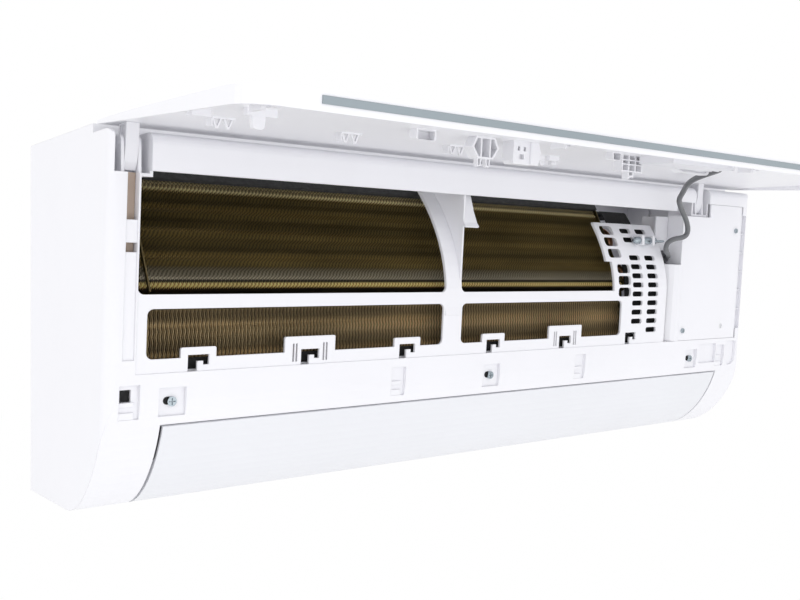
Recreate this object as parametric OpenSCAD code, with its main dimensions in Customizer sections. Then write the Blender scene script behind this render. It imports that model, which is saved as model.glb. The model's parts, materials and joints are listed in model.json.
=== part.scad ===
// Wall-mounted indoor air conditioner unit with its front panel raised.
// Origin at the centre of the wall plate's back face. X runs along the wall, the wall is at
// Y = 0 with the room at negative Y, and Z is up. Depths below are measured from the wall.

/* [Casing] */
// Width of the unit
unit_w = 820; // [800:5:850]
// Height of the unit
unit_h = 300; // [298:1:306]
// Depth from the wall to the face at mid height
face_d = 180; // [178:0.5:184]
// Lean of the face, top towards the room
face_lean = 4.5; // [4:0.1:5]
// Wall of the plastic shells
shell_t = 2.5; // [2:0.1:3]
// Radius of the casing's upright edges
edge_r = 9; // [6:1:12]
// Depth from the wall at which the rounded belly meets the flat bottom
belly_d = 98; // [94:1:102]
// Height of the rounded belly
belly_h = 98; // [94:1:102]

/* [Face grid] */
// Height of the header beam
header_h = 18; // [14:1:22]
// Thickness of the face grid's bars
grid_t = 3; // [2:0.1:4]
// Height of the middle bar
mid_bar_h = 11; // [8:1:14]
// Width of the flange on the middle rib
rib_w = 19; // [14:1:24]
// Depth that the filter track falls back at the header
track_drop = 51; // [44:1:56]
// Height of the window row below the middle bar
low_window_h = 38; // [34:1:40]
// Height of the slotted guard's slots
slot_h = 5.6; // [3:0.1:6]
// Distance from slot to slot in the guard
slot_pitch = 10.2; // [9:0.1:11]

/* [Front panel] */
// Thickness of the panel's skin
panel_t = 2.5; // [2:0.1:3]
// Depth of the panel at its free edge
panel_deep = 12; // [10:0.5:14]
// Corner radius at the panel's free edge
panel_corner_r = 22; // [10:1:30]
// Height of the trim strip on the free edge
strip_h = 5; // [3:0.5:6]
// Radius of the panel's hinge pins
hinge_pin_r = 2.5; // [2:0.1:3]
// Width of a hinge arm
arm_w = 10; // [8:0.5:11]

/* [Coil] */
// Thickness of each coil slab
coil_t = 24; // [20:1:25]
// Height of the upright lower slab
coil_low_h = 48; // [40:1:50]
// Length of the upper front slab
coil_up_l = 110; // [100:1:112]
// Length of the rear slab
coil_rear_l = 76; // [60:1:80]
// Outer radius of the coil tubes
tube_r = 3.5; // [3:0.1:4]
// Thickness of the coil's end plates
end_plate_t = 1.2; // [1:0.1:2]

/* [Fan] */
// Radius of the cross-flow fan wheel
fan_r = 44; // [40:1:45]
// Number of blades
fan_blades = 26; // [20:1:32]
// Radius of the fan's shaft
shaft_r = 4; // [3:0.5:5]
// Radius of the fan motor
motor_r = 39; // [34:1:41]
// Length of the fan motor
motor_l = 46; // [40:1:50]

/* [Louver and vanes] */
// Thickness of the louver's skin
louver_t = 2.5; // [2:0.1:3]
// Radius of the louver's pivot pins
louver_pin_r = 3; // [2.5:0.1:4]
// Distance from vane to vane
vane_pitch = 82; // [70:1:86]
// Length of a vane along the air stream
vane_l = 30; // [24:1:34]
// Height of a vane across the duct
vane_h = 36; // [30:1:38]
// Thickness of a vane
vane_t = 1.8; // [1.2:0.1:2.4]
// Radius of a vane's pivot pin
vane_pin_r = 1.8; // [1.5:0.1:2.2]

/* [Pipes and wall plate] */
// Outer radius of the gas pipe
gas_r = 4.76; // [4.5:0.01:6.4]
// Outer radius of the liquid pipe
liquid_r = 3.18; // [3:0.01:4.8]
// Outer radius of the drain hose
hose_r = 9; // [7:0.5:10]
// Thickness of the wall plate's sheet
plate_t = 1.5; // [1:0.1:2]
// Radius of the wall plate's screw holes
plate_hole_r = 2.5; // [2:0.1:3.5]
// Upright distance between the wall plate's screw holes
plate_hole_z = 200; // [180:5:220]
// Level distance between the wall plate's outer screw holes
plate_hole_x = 600; // [560:10:640]

/* [Display lead] */
// Outer radius of the lead to the display
lead_r = 2.9; // [2.5:0.1:3.2]

/* [Hidden] */

// How far a cut runs past the face that it opens
over = 1;
// Radial clearance of a pin that turns in a bore
run_gap = 0.08;
// Clearance between parts that only lie side by side
side_gap = 0.3;
// Clearance between a tube and the hole that it is set in
seat_gap = 0.05;

// Half width and half height
xw = unit_w / 2;
zt = unit_h / 2;
// Depth at which the casing's sides end, in front of the wall
frame_back = 4;
// Depth at which the flat top begins behind the panel's hinge edge
shelf_d = 155;
// Drop from the unit's top to the top of the face
top_drop = 16;
// Radius between the face and the shelf under the panel's hinge edge
top_corner_r = 9;
face_top = zt - top_drop;
shelf_z = face_top + top_corner_r;
belly_z = belly_h - zt;
// Power that flattens the belly's curve, and its number of straight steps
belly_power = 1.18;
belly_steps = 18;
arc_steps = 6;
track_steps = 14;

// Distance from the face's top down to the header's upper edge
header_drop = 2;
head_z1 = face_top - header_drop;
head_z0 = head_z1 - header_h;
// Height at which the filter track starts to fall back
track_z0 = 14;
// Lower edge of the middle bar, and the bottom rail below the low windows
bar_z0 = 11;
bar_z1 = bar_z0 + mid_bar_h;
rail_h = 11;
rail_z1 = bar_z0 - low_window_h;
rail_z0 = rail_z1 - rail_h;
// Heights above the unit's underside of the strip's lower edge and the louver's upper edge
strip_foot = 76;
strip_z0 = strip_foot - zt;
louver_lip = 70.5;
// Left and right edges of the face opening, from the casing's ends
jamb_l = 24;
jamb_r = 14;
open_x0 = jamb_l - xw;
open_x1 = xw - jamb_r;
// Distance from the right end to the guard's right edge and to the header's right end
guard_end = 158;
guard_x1 = xw - guard_end;
header_end = 148;
header_x1 = xw - header_end;
// Distance from the right end to the electric cover's left edge
cover_left = 135;
cover_x0 = xw - cover_left;
cover_edge = 17;
cover_x1 = xw - cover_edge;
// Half of the air outlet's length, from the casing's ends
cheek_w = 46;
outlet_x = xw - cheek_w;

function face_y(z) = -face_d - z * tan(face_lean);
function belly(a) = [
  -belly_d - (-face_y(belly_z) - belly_d) * pow(cos(a), belly_power),
  belly_z - belly_h * pow(sin(a), belly_power)];
function unit_vec(v) = v / norm(v);
function right_of(v) = [v[1], -v[0]];
// Corner b of a path moved to its right by t, where a and c are the corners beside it
function mitre(a, b, c, t) =
  let (n1 = right_of(unit_vec(b - a)), n2 = right_of(unit_vec(c - b)))
  b + t * (n1 + n2) / (1 + n1 * n2);
function inset(p, t) = [for (i = [0:len(p) - 1])
  mitre(p[(i + len(p) - 1) % len(p)], p[i], p[(i + 1) % len(p)], t)];
function backwards(p) = [for (i = [len(p) - 1:-1:0]) p[i]];
// An open path moved to its right by t, square at its ends
function beside(p, t) = [for (i = [0:len(p) - 1])
  i == 0 ? p[0] + t * right_of(unit_vec(p[1] - p[0])) :
  i == len(p) - 1 ? p[i] + t * right_of(unit_vec(p[i] - p[i - 1])) :
  mitre(p[i - 1], p[i], p[i + 1], t)];
function ribbon(p, t) = concat(p, backwards(beside(p, t)));
// Outline of the casing from the side, up to depth back_d, clockwise
function casing_side(back_d) = concat(
  [[-back_d, -zt]],
  [for (i = [belly_steps:-1:0]) belly(90 * i / belly_steps)],
  [for (i = [0:arc_steps]) let (a = 180 - 90 * i / arc_steps)
    [face_y(face_top) + top_corner_r + top_corner_r * cos(a), face_top + top_corner_r * sin(a)]],
  [[-shelf_d, shelf_z], [-shelf_d, zt], [-back_d, zt]]);
function bezier(p, t) = pow(1 - t, 3) * p[0] + 3 * pow(1 - t, 2) * t * p[1]
  + 3 * (1 - t) * t * t * p[2] + pow(t, 3) * p[3];
function round_rect(x0, z0, x1, z1, r) = [for (c = [[x1, z1, 0], [x0, z1, 90], [x0, z0, 180], [x1, z0, 270]])
  for (i = [0:arc_steps]) let (a = c[2] + 90 * i / arc_steps, sx = c[0] == x1 ? -r : r,
    sz = c[1] == z1 ? -r : r)
  [c[0] + sx + r * cos(a), c[1] + sz + r * sin(a)]];
// Depth line that the filters slide along
function track_y(z) = face_y(z)
  + track_drop * pow(max(0, (z - track_z0) / ((head_z0 + head_z1) / 2 - track_z0)), 2);
function track_path(z0, z1) = [for (i = [0:track_steps]) let (z = z0 + (z1 - z0) * i / track_steps)
  [track_y(z), z]];

module along_x(x0, x1) translate([x0, 0, 0]) rotate([90, 0, 90]) linear_extrude(x1 - x0) children();
module along_y(y0, y1) translate([0, y1, 0]) rotate([90, 0, 0]) linear_extrude(y1 - y0) children();
module block(a, b) translate(a) cube(b - a);
module rod_x(r, x0, x1, y, z) translate([x0, y, z]) rotate([0, 90, 0]) cylinder(r = r, h = x1 - x0, $fn = 32);
module on_face() translate([0, -face_d, 0]) rotate([face_lean, 0, 0]) children();

// The casing's outline from above, its upright front edges rounded, shrunk by t
module casing_plan(t) {
  r = edge_r - t;
  on_face() translate([0, 0, -unit_h]) linear_extrude(2 * unit_h) union() {
    translate([t - xw, edge_r]) square([unit_w - 2 * t, face_d]);
    translate([edge_r - xw, t]) square([unit_w - 2 * edge_r, face_d]);
    for (s = [-1, 1]) translate([s * (xw - edge_r), edge_r]) circle(r = r, $fn = 32);
  }
}

// Hinge of the front panel: its axis behind the face, the arms from the casing's ends
hinge_in = 12.7;
hinge_y = face_y(face_top) + hinge_in;
hinge_z = face_top;
arm_left_in = 18;
arm_right_in = 99;
arm_xs = [arm_left_in - xw, xw - arm_right_in];
// Room beside an arm in its pocket, the ears' thickness and radius, the pocket's size
arm_gap = 9;
ear_t = 2.5;
ear_r = 6;
pocket_deep = 34;
pocket_h = 22;
arm_reach = 20;

// Space of the pockets that the hinge arms swing in, grown by t
module pocket_space(t) {
  w = arm_w / 2 + arm_gap + t;
  for (x = arm_xs) on_face() block([x - w, -over, face_top - pocket_h - t],
    [x + w, pocket_deep + t, shelf_z + over]);
}
module hinge_ears() difference() {
  for (x = arm_xs, s = [-1, 1]) along_x(x + s * (arm_w / 2 + side_gap + ear_t / 2) - ear_t / 2,
    x + s * (arm_w / 2 + side_gap + ear_t / 2) + ear_t / 2) union() {
      translate([hinge_y, hinge_z]) circle(r = ear_r, $fn = 32);
      translate([hinge_y - ear_r, face_top - pocket_h - ear_t]) square([2 * ear_r, pocket_h + ear_t]);
    }
  rod_x(hinge_pin_r + run_gap, -xw, xw, hinge_y, hinge_z);
}

// Hooks along the bottom rail: centre, width, height above the rail's foot, opening width
hook_shares = [-0.817, -0.567, -0.312, -0.049, 0.204, 0.466];
hook_wide = [false, true, false, false, true, false];
hook_w = 30;
hook_wide_w = 50;
hook_h = 19;
hook_wide_h = 24;
hook_hole_w = 18;
hook_hole_h = 13;
tongue_w = 5;
slit_w = 1.6;
slit_h = 15;
slit_gap = 3;
function hook_x(i) = hook_shares[i] * xw;

module hook_solid() for (i = [0:len(hook_shares) - 1]) {
  w = hook_wide[i] ? hook_wide_w : hook_w;
  polygon(round_rect(hook_x(i) - w / 2, rail_z0, hook_x(i) + w / 2,
    rail_z0 + (hook_wide[i] ? hook_wide_h : hook_h), grid_t / 2));
}
module hook_holes() for (i = [0:len(hook_shares) - 1]) {
  translate([hook_x(i) - hook_hole_w / 2, rail_z0]) square([hook_hole_w, hook_hole_h]);
  if (hook_wide[i]) for (s = [-1, 1], k = [0, 1])
    translate([hook_x(i) + s * (hook_hole_w / 2 + slit_gap * (1.5 + k)) - slit_w / 2, rail_z0 + slit_gap])
      square([slit_w, slit_h]);
}
// The L-shaped tongue in each hook's opening
module hook_tongues() for (i = [0:len(hook_shares) - 1]) translate([hook_x(i), rail_z0]) union() {
  translate([hook_hole_w / 2 - 2 * tongue_w, 0]) square([2 * tongue_w, tongue_w]);
  translate([hook_hole_w / 2 - 2 * tongue_w, 0]) square([tongue_w, hook_hole_h - tongue_w]);
}

// The slotted guard at the grid's right end: columns of slots, from the casing's right end
guard_step_z = 54;
guard_top_z = 98;
guard_w = 102;
guard_x0 = guard_x1 - guard_w;
guard_x_step = guard_x1 - 93;
guard_x_low = guard_x1 - 79;
col_c = guard_x1 - 25;
col_b = guard_x1 - 52;
col_a_low = guard_x1 - 75;
col_a_high = guard_x1 - 84.5;
col_w = 18.5;
tall_w = 21;
tall_slot_h = 9.8;
tall_slot_pitch = 12.9;
slot_top_z = 92.3;
tall_low_z = 20.4;
sensor_row = 2;
slots_b = 11;
slots_c = 12;
slot_round = 2.2;
tall_round = 3.2;
module guard_slots() {
  for (k = [0:slots_c - 1]) if (k != sensor_row) {
    z = slot_top_z - slot_pitch * k - slot_h;
    polygon(round_rect(col_c - col_w / 2, z, col_c + col_w / 2, z + slot_h, slot_round));
    if (k < slots_b) polygon(round_rect(col_b - col_w / 2, z, col_b + col_w / 2, z + slot_h, slot_round));
  }
  for (k = [0:2]) {
    z = tall_low_z + tall_slot_pitch * k - tall_slot_h / 2;
    polygon(round_rect(col_a_low - tall_w / 2, z, col_a_low + tall_w / 2, z + tall_slot_h, tall_round));
    zh = z + guard_step_z - bar_z0;
    polygon(round_rect(col_a_high - tall_w / 2, zh, col_a_high + tall_w / 2, zh + tall_slot_h, tall_round));
  }
}

// Middle rib, from the casing's centre
rib_x1 = -0.159 * xw;
rib_t = 2;
window_r = 5;
window_in = 8;
// The face grid as seen from the front
module grid_front() difference() {
  union() {
    difference() {
      translate([open_x0 - over, rail_z0]) square([guard_x1 - open_x0 + over, head_z1 - rail_z0]);
      polygon(round_rect(open_x0 + window_in, rail_z1, rib_x1 - rib_w - rib_t, bar_z0, window_r));
      polygon(round_rect(rib_x1 + rib_t, rail_z1, guard_x_low, bar_z0, window_r));
      polygon(round_rect(open_x0, bar_z1, rib_x1 - rib_w, face_top, window_r));
      difference() {
        polygon(round_rect(rib_x1, bar_z1, guard_x1 + 2 * window_r, face_top + window_r, window_r));
        translate([guard_x_step, bar_z0]) square([unit_w, guard_step_z - bar_z0]);
        polygon(round_rect(guard_x0, bar_z1, unit_w, guard_top_z, grid_t));
        difference() {
          translate([guard_x0, bar_z1]) square([unit_w, guard_step_z - bar_z1]);
          translate([guard_x0 - over, bar_z1 - over])
            square([guard_x_step - guard_x0 + over, guard_step_z - bar_z1 + over]);
        }
      }
      translate([guard_x0 - over, bar_z1]) square([guard_x_step - guard_x0 + over, guard_step_z - bar_z1]);
    }
    hook_solid();
  }
  hook_holes();
  guard_slots();
}
module face_grid() union() {
  intersection() {
    along_x(-xw, xw) polygon(ribbon(track_path(rail_z0, head_z1), grid_t));
    along_y(-2 * face_d, 0) union() { grid_front(); hook_tongues(); }
  }
  // The rib's web, from the face back to the track
  along_x(rib_x1 - rib_t, rib_x1) polygon(concat(
    [[face_y(rail_z0) + grid_t / 2, rail_z0], [face_y(head_z1) + grid_t / 2, head_z1]],
    backwards([for (p = track_path(rail_z0, head_z1)) p + [grid_t, 0]])));
}

// Screws and latch windows in the strip under the grid
screw_up = 13.5;
screw_z = strip_z0 + screw_up;
screw_left_in = 54.5;
screw_right_in = 102.6;
screw_xs = [screw_left_in - xw, -0.05 * xw, xw - screw_right_in];
screw_r = 1.9;
head_h = 2.4;
sink_w = 22;
sink_t = 3.5;
latch_xs = [20 - xw, -0.333 * xw, 0.266 * xw, xw - 43];
latch_w = 16;
latch_h = 26;
latch_up = 2;
latch_deep = 3.3;
latch_z0 = strip_z0 + latch_up;
// Bar and foot inside each latch window
latch_bar_w = 12;
latch_bar_h = 3.5;
latch_bar_t = 1.5;
// Round-ended recess near the right end of the strip
dimple_in = 21;
dimple_r = 10;
dimple_rise = 12;
dimple_h = 20;
// Shallow recess beside it
recess_in = 53;
recess_w = 33;
recess_up = 7;
recess_h = 23;
recess_x1 = xw - recess_in;
recess_x0 = recess_x1 - recess_w;
recess_z0 = strip_z0 + recess_up;
recess_z1 = recess_z0 + recess_h;
// Filter channel in the left jamb: centre, width, depth and the covers across it
channel_in = 15;
channel_w = 9;
channel_deep = 8;
channel_cover_shares = [[0, 0.57], [0.62, 0.74]];
// Ribbed channel in the right jamb
notch_in = 11;
notch_w = 8;
notch_deep = 5;
notch_foot = 12;
notch_z0 = rail_z0 + notch_foot;
notch_ribs = 5;
notch_rib_t = 1.5;
// Air grille on top
grille_in = 38;
grille_rim = 9;
grille_back = 22;
grille_y0 = -shelf_d + grille_rim;
grille_y1 = -grille_back;
slat_t = 2;
slat_deep = 6;
slats = 9;
grille_ribs = 10;
// Catch at the top of the middle rib
catch_w = 15;
catch_t = 1.8;
// Depth behind the face and drop below the header along the catch
catch_line = [[14, -2.5], [9, 15], [4, 27], [1, 31]];
// Depth of the ledge along the strip and of the header's lower lip
ledge_deep = 4.8;
lip_deep = 7.5;

function grille_y(k) = grille_y0 + (grille_y1 - grille_y0) * k / slats;
module casing_shell() difference() {
  intersection() {
    along_x(-xw, xw) polygon(casing_side(frame_back));
    casing_plan(0);
  }
  intersection() {
    along_x(shell_t - xw, xw - shell_t) polygon(inset(casing_side(-face_d), shell_t));
    casing_plan(shell_t);
  }
}
// The casing's front inside its outline, for parts that line the skin
module casing_room() intersection() {
  along_x(-xw, xw) polygon(inset(casing_side(0), shell_t / 2));
  casing_plan(shell_t / 2);
}
// Blind pockets in the strip and the right jamb, each grown by g for the walls round it
module face_pocket(a, b, deep, g)
  block([a[0] - g, g > 0 ? 0 : -over, a[1] - g], [b[0] + g, deep + g, b[1] + g]);
module face_pockets(g) on_face() {
  for (x = screw_xs)
    face_pocket([x - sink_w / 2, screw_z - sink_w / 2], [x + sink_w / 2, screw_z + sink_w / 2], sink_t, g);
  for (x = latch_xs)
    face_pocket([x - latch_w / 2, latch_z0], [x + latch_w / 2, latch_z0 + latch_h], latch_deep, g);
  face_pocket([recess_x0, recess_z0], [recess_x1, recess_z1], sink_t, g);
  face_pocket([xw - notch_in - notch_w / 2, notch_z0], [xw - notch_in + notch_w / 2, head_z0], notch_deep, g);
  translate([xw - dimple_in, 0, strip_z0 + dimple_rise]) {
    face_pocket([-dimple_r, 0], [dimple_r, dimple_h], sink_t, g);
    translate([0, g > 0 ? 0 : -over, 0]) rotate([-90, 0, 0])
      cylinder(r = dimple_r + g, h = sink_t + (g > 0 ? g : over), $fn = 32);
  }
}
module face_cuts() {
  on_face() {
    block([open_x0, -over, rail_z0], [guard_x1, grid_t + over, head_z0]);
    block([guard_x1 - over, -over, rail_z0], [open_x1, grid_t + over, head_z0]);
    block([header_x1, -over, head_z0 - over], [open_x1, grid_t + over, face_top - header_h / 2]);
    for (x = screw_xs) translate([x, -over, screw_z]) rotate([-90, 0, 0])
      cylinder(r = screw_r + side_gap, h = sink_t + shell_t + 2 * over, $fn = 24);
    // Hole for the latch's hook at the far left
    block([latch_xs[0] - latch_w / 2 + side_gap, -over, latch_z0 + latch_h / 2],
      [latch_xs[0] + latch_w / 8, latch_deep + shell_t + over, latch_z0 + latch_h - latch_bar_h]);
    // The left jamb's channel
    block([open_x0 - channel_in + channel_w / 2, -over, rail_z1],
      [open_x0 - channel_in + 1.5 * channel_w, channel_deep, head_z0]);
  }
  face_pockets(0);
  pocket_space(0);
  // The air outlet in the belly and the air grille on top
  block([-outlet_x, -2 * face_d, -zt - over], [outlet_x, -belly_d + over,
    louver_lip - zt + shell_t / 2 + side_gap]);
  block([grille_in - xw, grille_y0, shelf_z + over], [xw - grille_in, grille_y1, zt + over]);
}
module front_frame() color("white") union() {
  difference() {
    union() {
      casing_shell();
      intersection() {
        union() {
          pocket_space(ear_t);
          face_pockets(shell_t);
          // Floor behind the left jamb's channel
          on_face() block([open_x0 - channel_in + channel_w / 2 - shell_t, 0, rail_z1 - shell_t],
            [open_x0, channel_deep + shell_t, head_z0]);
          // Ledge along the strip's upper edge, and the header's lower lip
          on_face() block([open_x0 - over, 0, rail_z0 - shell_t], [open_x1 + over, ledge_deep, rail_z0]);
          on_face() block([open_x0 - over, 0, head_z0], [header_x1, lip_deep, head_z0 + shell_t]);
        }
        casing_room();
      }
    }
    face_cuts();
  }
  intersection() {
    face_grid();
    union() {
      casing_plan(shell_t / 4);
      block([rib_x1 - rib_w, -face_d, 0], [rib_x1, 0, zt]);
    }
  }
  hinge_ears();
  on_face() for (k = channel_cover_shares)
    translate([open_x0 - channel_in + channel_w / 2 - over, shell_t / 2, rail_z1 + k[0] * (head_z0 - rail_z1)])
      cube([channel_w + 2 * over, shell_t, (k[1] - k[0]) * (head_z0 - rail_z1)]);
  on_face() {
    // Bar and foot in each latch window, and the ribs across the right jamb's channel
    for (x = latch_xs) {
      block([x - latch_w / 2 - over, latch_deep - latch_bar_t, latch_z0 + latch_h / 2 - latch_bar_h],
        [x - latch_w / 2 + latch_bar_w, latch_deep + over, latch_z0 + latch_h / 2]);
      block([x - latch_w / 2 - over, latch_deep - latch_bar_t, latch_z0 - over],
        [x - latch_w / 2 + latch_bar_w, latch_deep + over, latch_z0 + 1.5 * latch_bar_h]);
    }
    for (k = [1:notch_ribs])
      translate([xw - notch_in - notch_w / 2 - over, notch_deep / 2,
        notch_z0 + k * (head_z0 - notch_z0) / (notch_ribs + 1)])
        cube([notch_w + 2 * over, notch_deep / 2 + over, notch_rib_t]);
  }
  // The grille's slats and ribs
  for (k = [1:slats - 1])
    block([grille_in - xw - over, grille_y(k) - slat_t / 2, zt - slat_deep],
      [xw - grille_in + over, grille_y(k) + slat_t / 2, zt]);
  for (k = [1:grille_ribs - 1]) {
    x = grille_in - xw + (unit_w - 2 * grille_in) * k / grille_ribs;
    block([x - slat_t / 2, grille_y0 - over, zt - slat_deep], [x + slat_t / 2, grille_y1 + over, zt]);
  }
  // The catch on the middle rib
  along_x(rib_x1 - rib_t, rib_x1 + catch_w)
    polygon(ribbon([for (p = catch_line) [face_y(head_z0) + p[0], head_z0 - p[1]]], catch_t));
}

// Fan axis, and the scroll that guides the air round the fan
fan_y = -88;
fan_z = -25;
back_y = -plate_t - side_gap;
trough_z = 34;
lip_h = 10;
trough_y = -52;
// Scroll from the trough behind the fan down to the outlet's rear edge, by its four guide points
scroll_y = -37;
scroll_pull = [-30, -50];
scroll_foot = [-60, 45];
scroll_end = 7;
frame_top_in = shell_t + side_gap;
scroll_path = [for (i = [0:track_steps]) bezier([
  [scroll_y, trough_z], scroll_pull, [scroll_foot[0], scroll_foot[1] - zt],
  [scroll_end - belly_d, frame_top_in + shell_t - zt]], i / track_steps)];
// Step of the scroll below which it runs on past the fan's room, and the last one of a wall
scroll_low = 9;
casing_x = xw - shell_t - side_gap;
wall_l_in = 38;
wall_l_x0 = wall_l_in - xw;
wall_l_x1 = wall_l_x0 + shell_t;
wheel_gap = 4;
fan_x0 = wall_l_x1 + wheel_gap;
fan_end = 212;
fan_x1 = xw - fan_end;
wall_r_x0 = fan_x1 + wheel_gap;
wall_r_x1 = wall_r_x0 + shell_t;
bearing_r = 11;
plate_hook_shares = [-0.73, 0, 0.73];
hook_tab_w = 24;
hook_tab_drop = 32;
hook_tab_z = zt - hook_tab_drop;
hook_out = 8;
pipe_hole_r = 28;
pipe_hole_in = 80;
pipe_hole_up = 50;
pipe_hole_x = xw - pipe_hole_in;
pipe_hole_z = pipe_hole_up - zt;
flange_d = 40;
flange_step = 4;
// Wall plate's edge inside the unit's outline, and its stamped windows
plate_in = 30;
plate_low = 20;
plate_top = 18;
stamp_share = 0.36;
stamp_w = 140;
stamp_z0 = -35;
stamp_z1 = 55;
room_gap = 6;
room_front = 2;
room_half = 20;
room_top_y = 30;

module rear_casing() color("whitesmoke") difference() {
  union() {
    block([-casing_x, back_y - shell_t, frame_top_in - zt], [casing_x, back_y, zt - frame_top_in]);
    // Flanges round the rear casing
    for (s = [-1, 1]) block([s * (casing_x - shell_t / 2) - shell_t / 2, -flange_d, frame_top_in - zt],
      [s * (casing_x - shell_t / 2) + shell_t / 2, back_y, zt - frame_top_in]);
    block([-casing_x, grille_y1 + flange_step, zt - frame_top_in - shell_t], [casing_x, back_y,
      zt - frame_top_in]);
    // Rear drain trough and the scroll
    block([wall_l_x0, trough_y, trough_z], [wall_r_x1, back_y, trough_z + shell_t]);
    block([wall_l_x0, trough_y, trough_z], [wall_r_x1, trough_y + shell_t, trough_z + lip_h]);
    along_x(side_gap - outlet_x, outlet_x - side_gap)
      polygon(ribbon([for (i = [scroll_low:track_steps]) scroll_path[i]], -shell_t));
    along_x(side_gap - outlet_x, wall_r_x1) polygon(ribbon(scroll_path, -shell_t));
    // Ribs from the back to the scroll, over the run of the pipes
    for (x = [wall_l_x0, (wall_l_x0 + wall_r_x0) / 2, wall_r_x0]) along_x(x, x + shell_t)
      polygon(concat([[back_y, trough_z + shell_t], [scroll_y, trough_z + shell_t]],
        [for (i = [0:scroll_low - 2]) scroll_path[i] + [shell_t / 2, 0]],
        [[back_y, scroll_path[scroll_low - 2][1]]]));
    // End walls of the fan's room
    for (x = [wall_l_x0, wall_r_x0]) along_x(x, x + shell_t) polygon(concat(
      [[fan_y, fan_z - fan_r - room_gap], [fan_y - fan_r - room_front, fan_z - room_half],
       [fan_y - fan_r - room_front, fan_z + room_half], [fan_y - room_top_y, trough_z],
       [scroll_y, trough_z + shell_t]], [for (i = [0:scroll_low - 1]) scroll_path[i]]));
  }
  rod_x(bearing_r, wall_l_x0 - over, wall_l_x1 + over, fan_y, fan_z);
  rod_x(3 * shaft_r, wall_r_x0 - over, wall_r_x1 + over, fan_y, fan_z);
  for (k = plate_hook_shares) translate([k * plate_hole_x / 2, 0, hook_tab_z + plate_t + side_gap])
    block([-hook_tab_w / 2 - over, back_y - shell_t - over, -2 * plate_t],
      [hook_tab_w / 2 + over, back_y + over, 0]);
  // Way out for the pipes
  translate([pipe_hole_x, back_y + over, pipe_hole_z]) rotate([90, 0, 0])
    cylinder(r = pipe_hole_r, h = shell_t + 2 * over, $fn = 48);
}

module wall_plate() color("lightsteelblue") difference() {
  union() {
    block([plate_in - xw, -plate_t, plate_low - zt], [xw - plate_in, 0, zt - plate_top]);
    for (k = plate_hook_shares) translate([k * plate_hole_x / 2 - hook_tab_w / 2, 0, hook_tab_z]) {
      translate([0, -hook_out, 0]) cube([hook_tab_w, hook_out, plate_t]);
      translate([0, -hook_out, 0]) cube([hook_tab_w, plate_t, hook_out]);
    }
  }
  for (sx = [-1, 0, 1], sz = [-1, 1])
    translate([sx * plate_hole_x / 2, over, sz * plate_hole_z / 2]) rotate([90, 0, 0])
      cylinder(r = plate_hole_r, h = plate_t + 2 * over, $fn = 24);
  translate([pipe_hole_x, over, pipe_hole_z]) rotate([90, 0, 0])
    cylinder(r = pipe_hole_r, h = plate_t + 2 * over, $fn = 48);
  // Windows stamped in the sheet
  for (s = [-1, 1]) block([s * stamp_share * xw - stamp_w / 2, -plate_t - over, stamp_z0],
    [s * stamp_share * xw + stamp_w / 2, over, stamp_z1]);
}

// Louver pivot, and the duct's front wall from the tongue to the outlet's upper edge
pivot_out = 17;
pivot_up = 28;
pivot_y = -belly_d - pivot_out;
pivot_z = pivot_up - zt;
tongue = [-137, -57];
tongue_top = [3, 8];
tongue_back = [-5, 4];
// The duct's wall ends behind the louver's upper edge
louver_a0 = asin(pow((belly_z - louver_lip + zt) / belly_h, 1 / belly_power));
lip_in = louver_t + shell_t + 2 * side_gap;
lip_point = belly(louver_a0) + [lip_in, 0];
wall_way = unit_vec(lip_point - tongue);
wall_in = [-wall_way[1], wall_way[0]];
wall_turn = atan2(wall_way[1], wall_way[0]);
// Vanes: first one's place, number, and their pivot's distance down the duct's front wall
vane_in = 80;
vane_x0 = vane_in - xw;
vane_count = 8;
crank_x = vane_x0 + vane_count * vane_pitch;
vane_u = 10;
vane_front = 8;
vane_gap = 8;
boss_r = 4.5;
boss_h = 8;
rod_arm = 13;
link_pin_r = 1.5;
link_pin_h = 5;
link_w = 7;
link_t = 2;
drop_gap = 0.4;
screw_boss_r = 4.5;
screw_boss_l = tongue[0] + (screw_z - tongue[1]) * wall_way[0] / wall_way[1] - shell_t / wall_in[0] / 2
  - face_y(screw_z) - sink_t - shell_t;
pan_z = -48.5;
pan_t = 2.5;
pan_front = 8;
pan_back = 1;
pan_low_share = 0.7;
pan_lip_h = 12;
// Coil: its front behind the face, its lower end, and its ends along the unit
coil_in = 18;
coil_d = face_d - coil_in;
coil_z0 = -38;
coil_end = 218;
coil_x0 = wall_l_x0;
coil_x1 = xw - coil_end;
up_lean = 26;
rear_lean = 39.8;
joint_gap = 15;
up_back = 6;
slab_gap = 5.8;
tube_pitch = 22;
plate_rim = 1.5;

// Draws children with X along the wall, Y down the air stream and Z into it
module on_duct(x) translate([x, tongue[0], tongue[1]]) rotate([wall_turn, 0, 0]) children();
module screw_holes(r, from, l) for (x = screw_xs) on_face() translate([x, from, screw_z])
  rotate([-90, 0, 0]) cylinder(r = r, h = l, $fn = 24);

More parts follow.
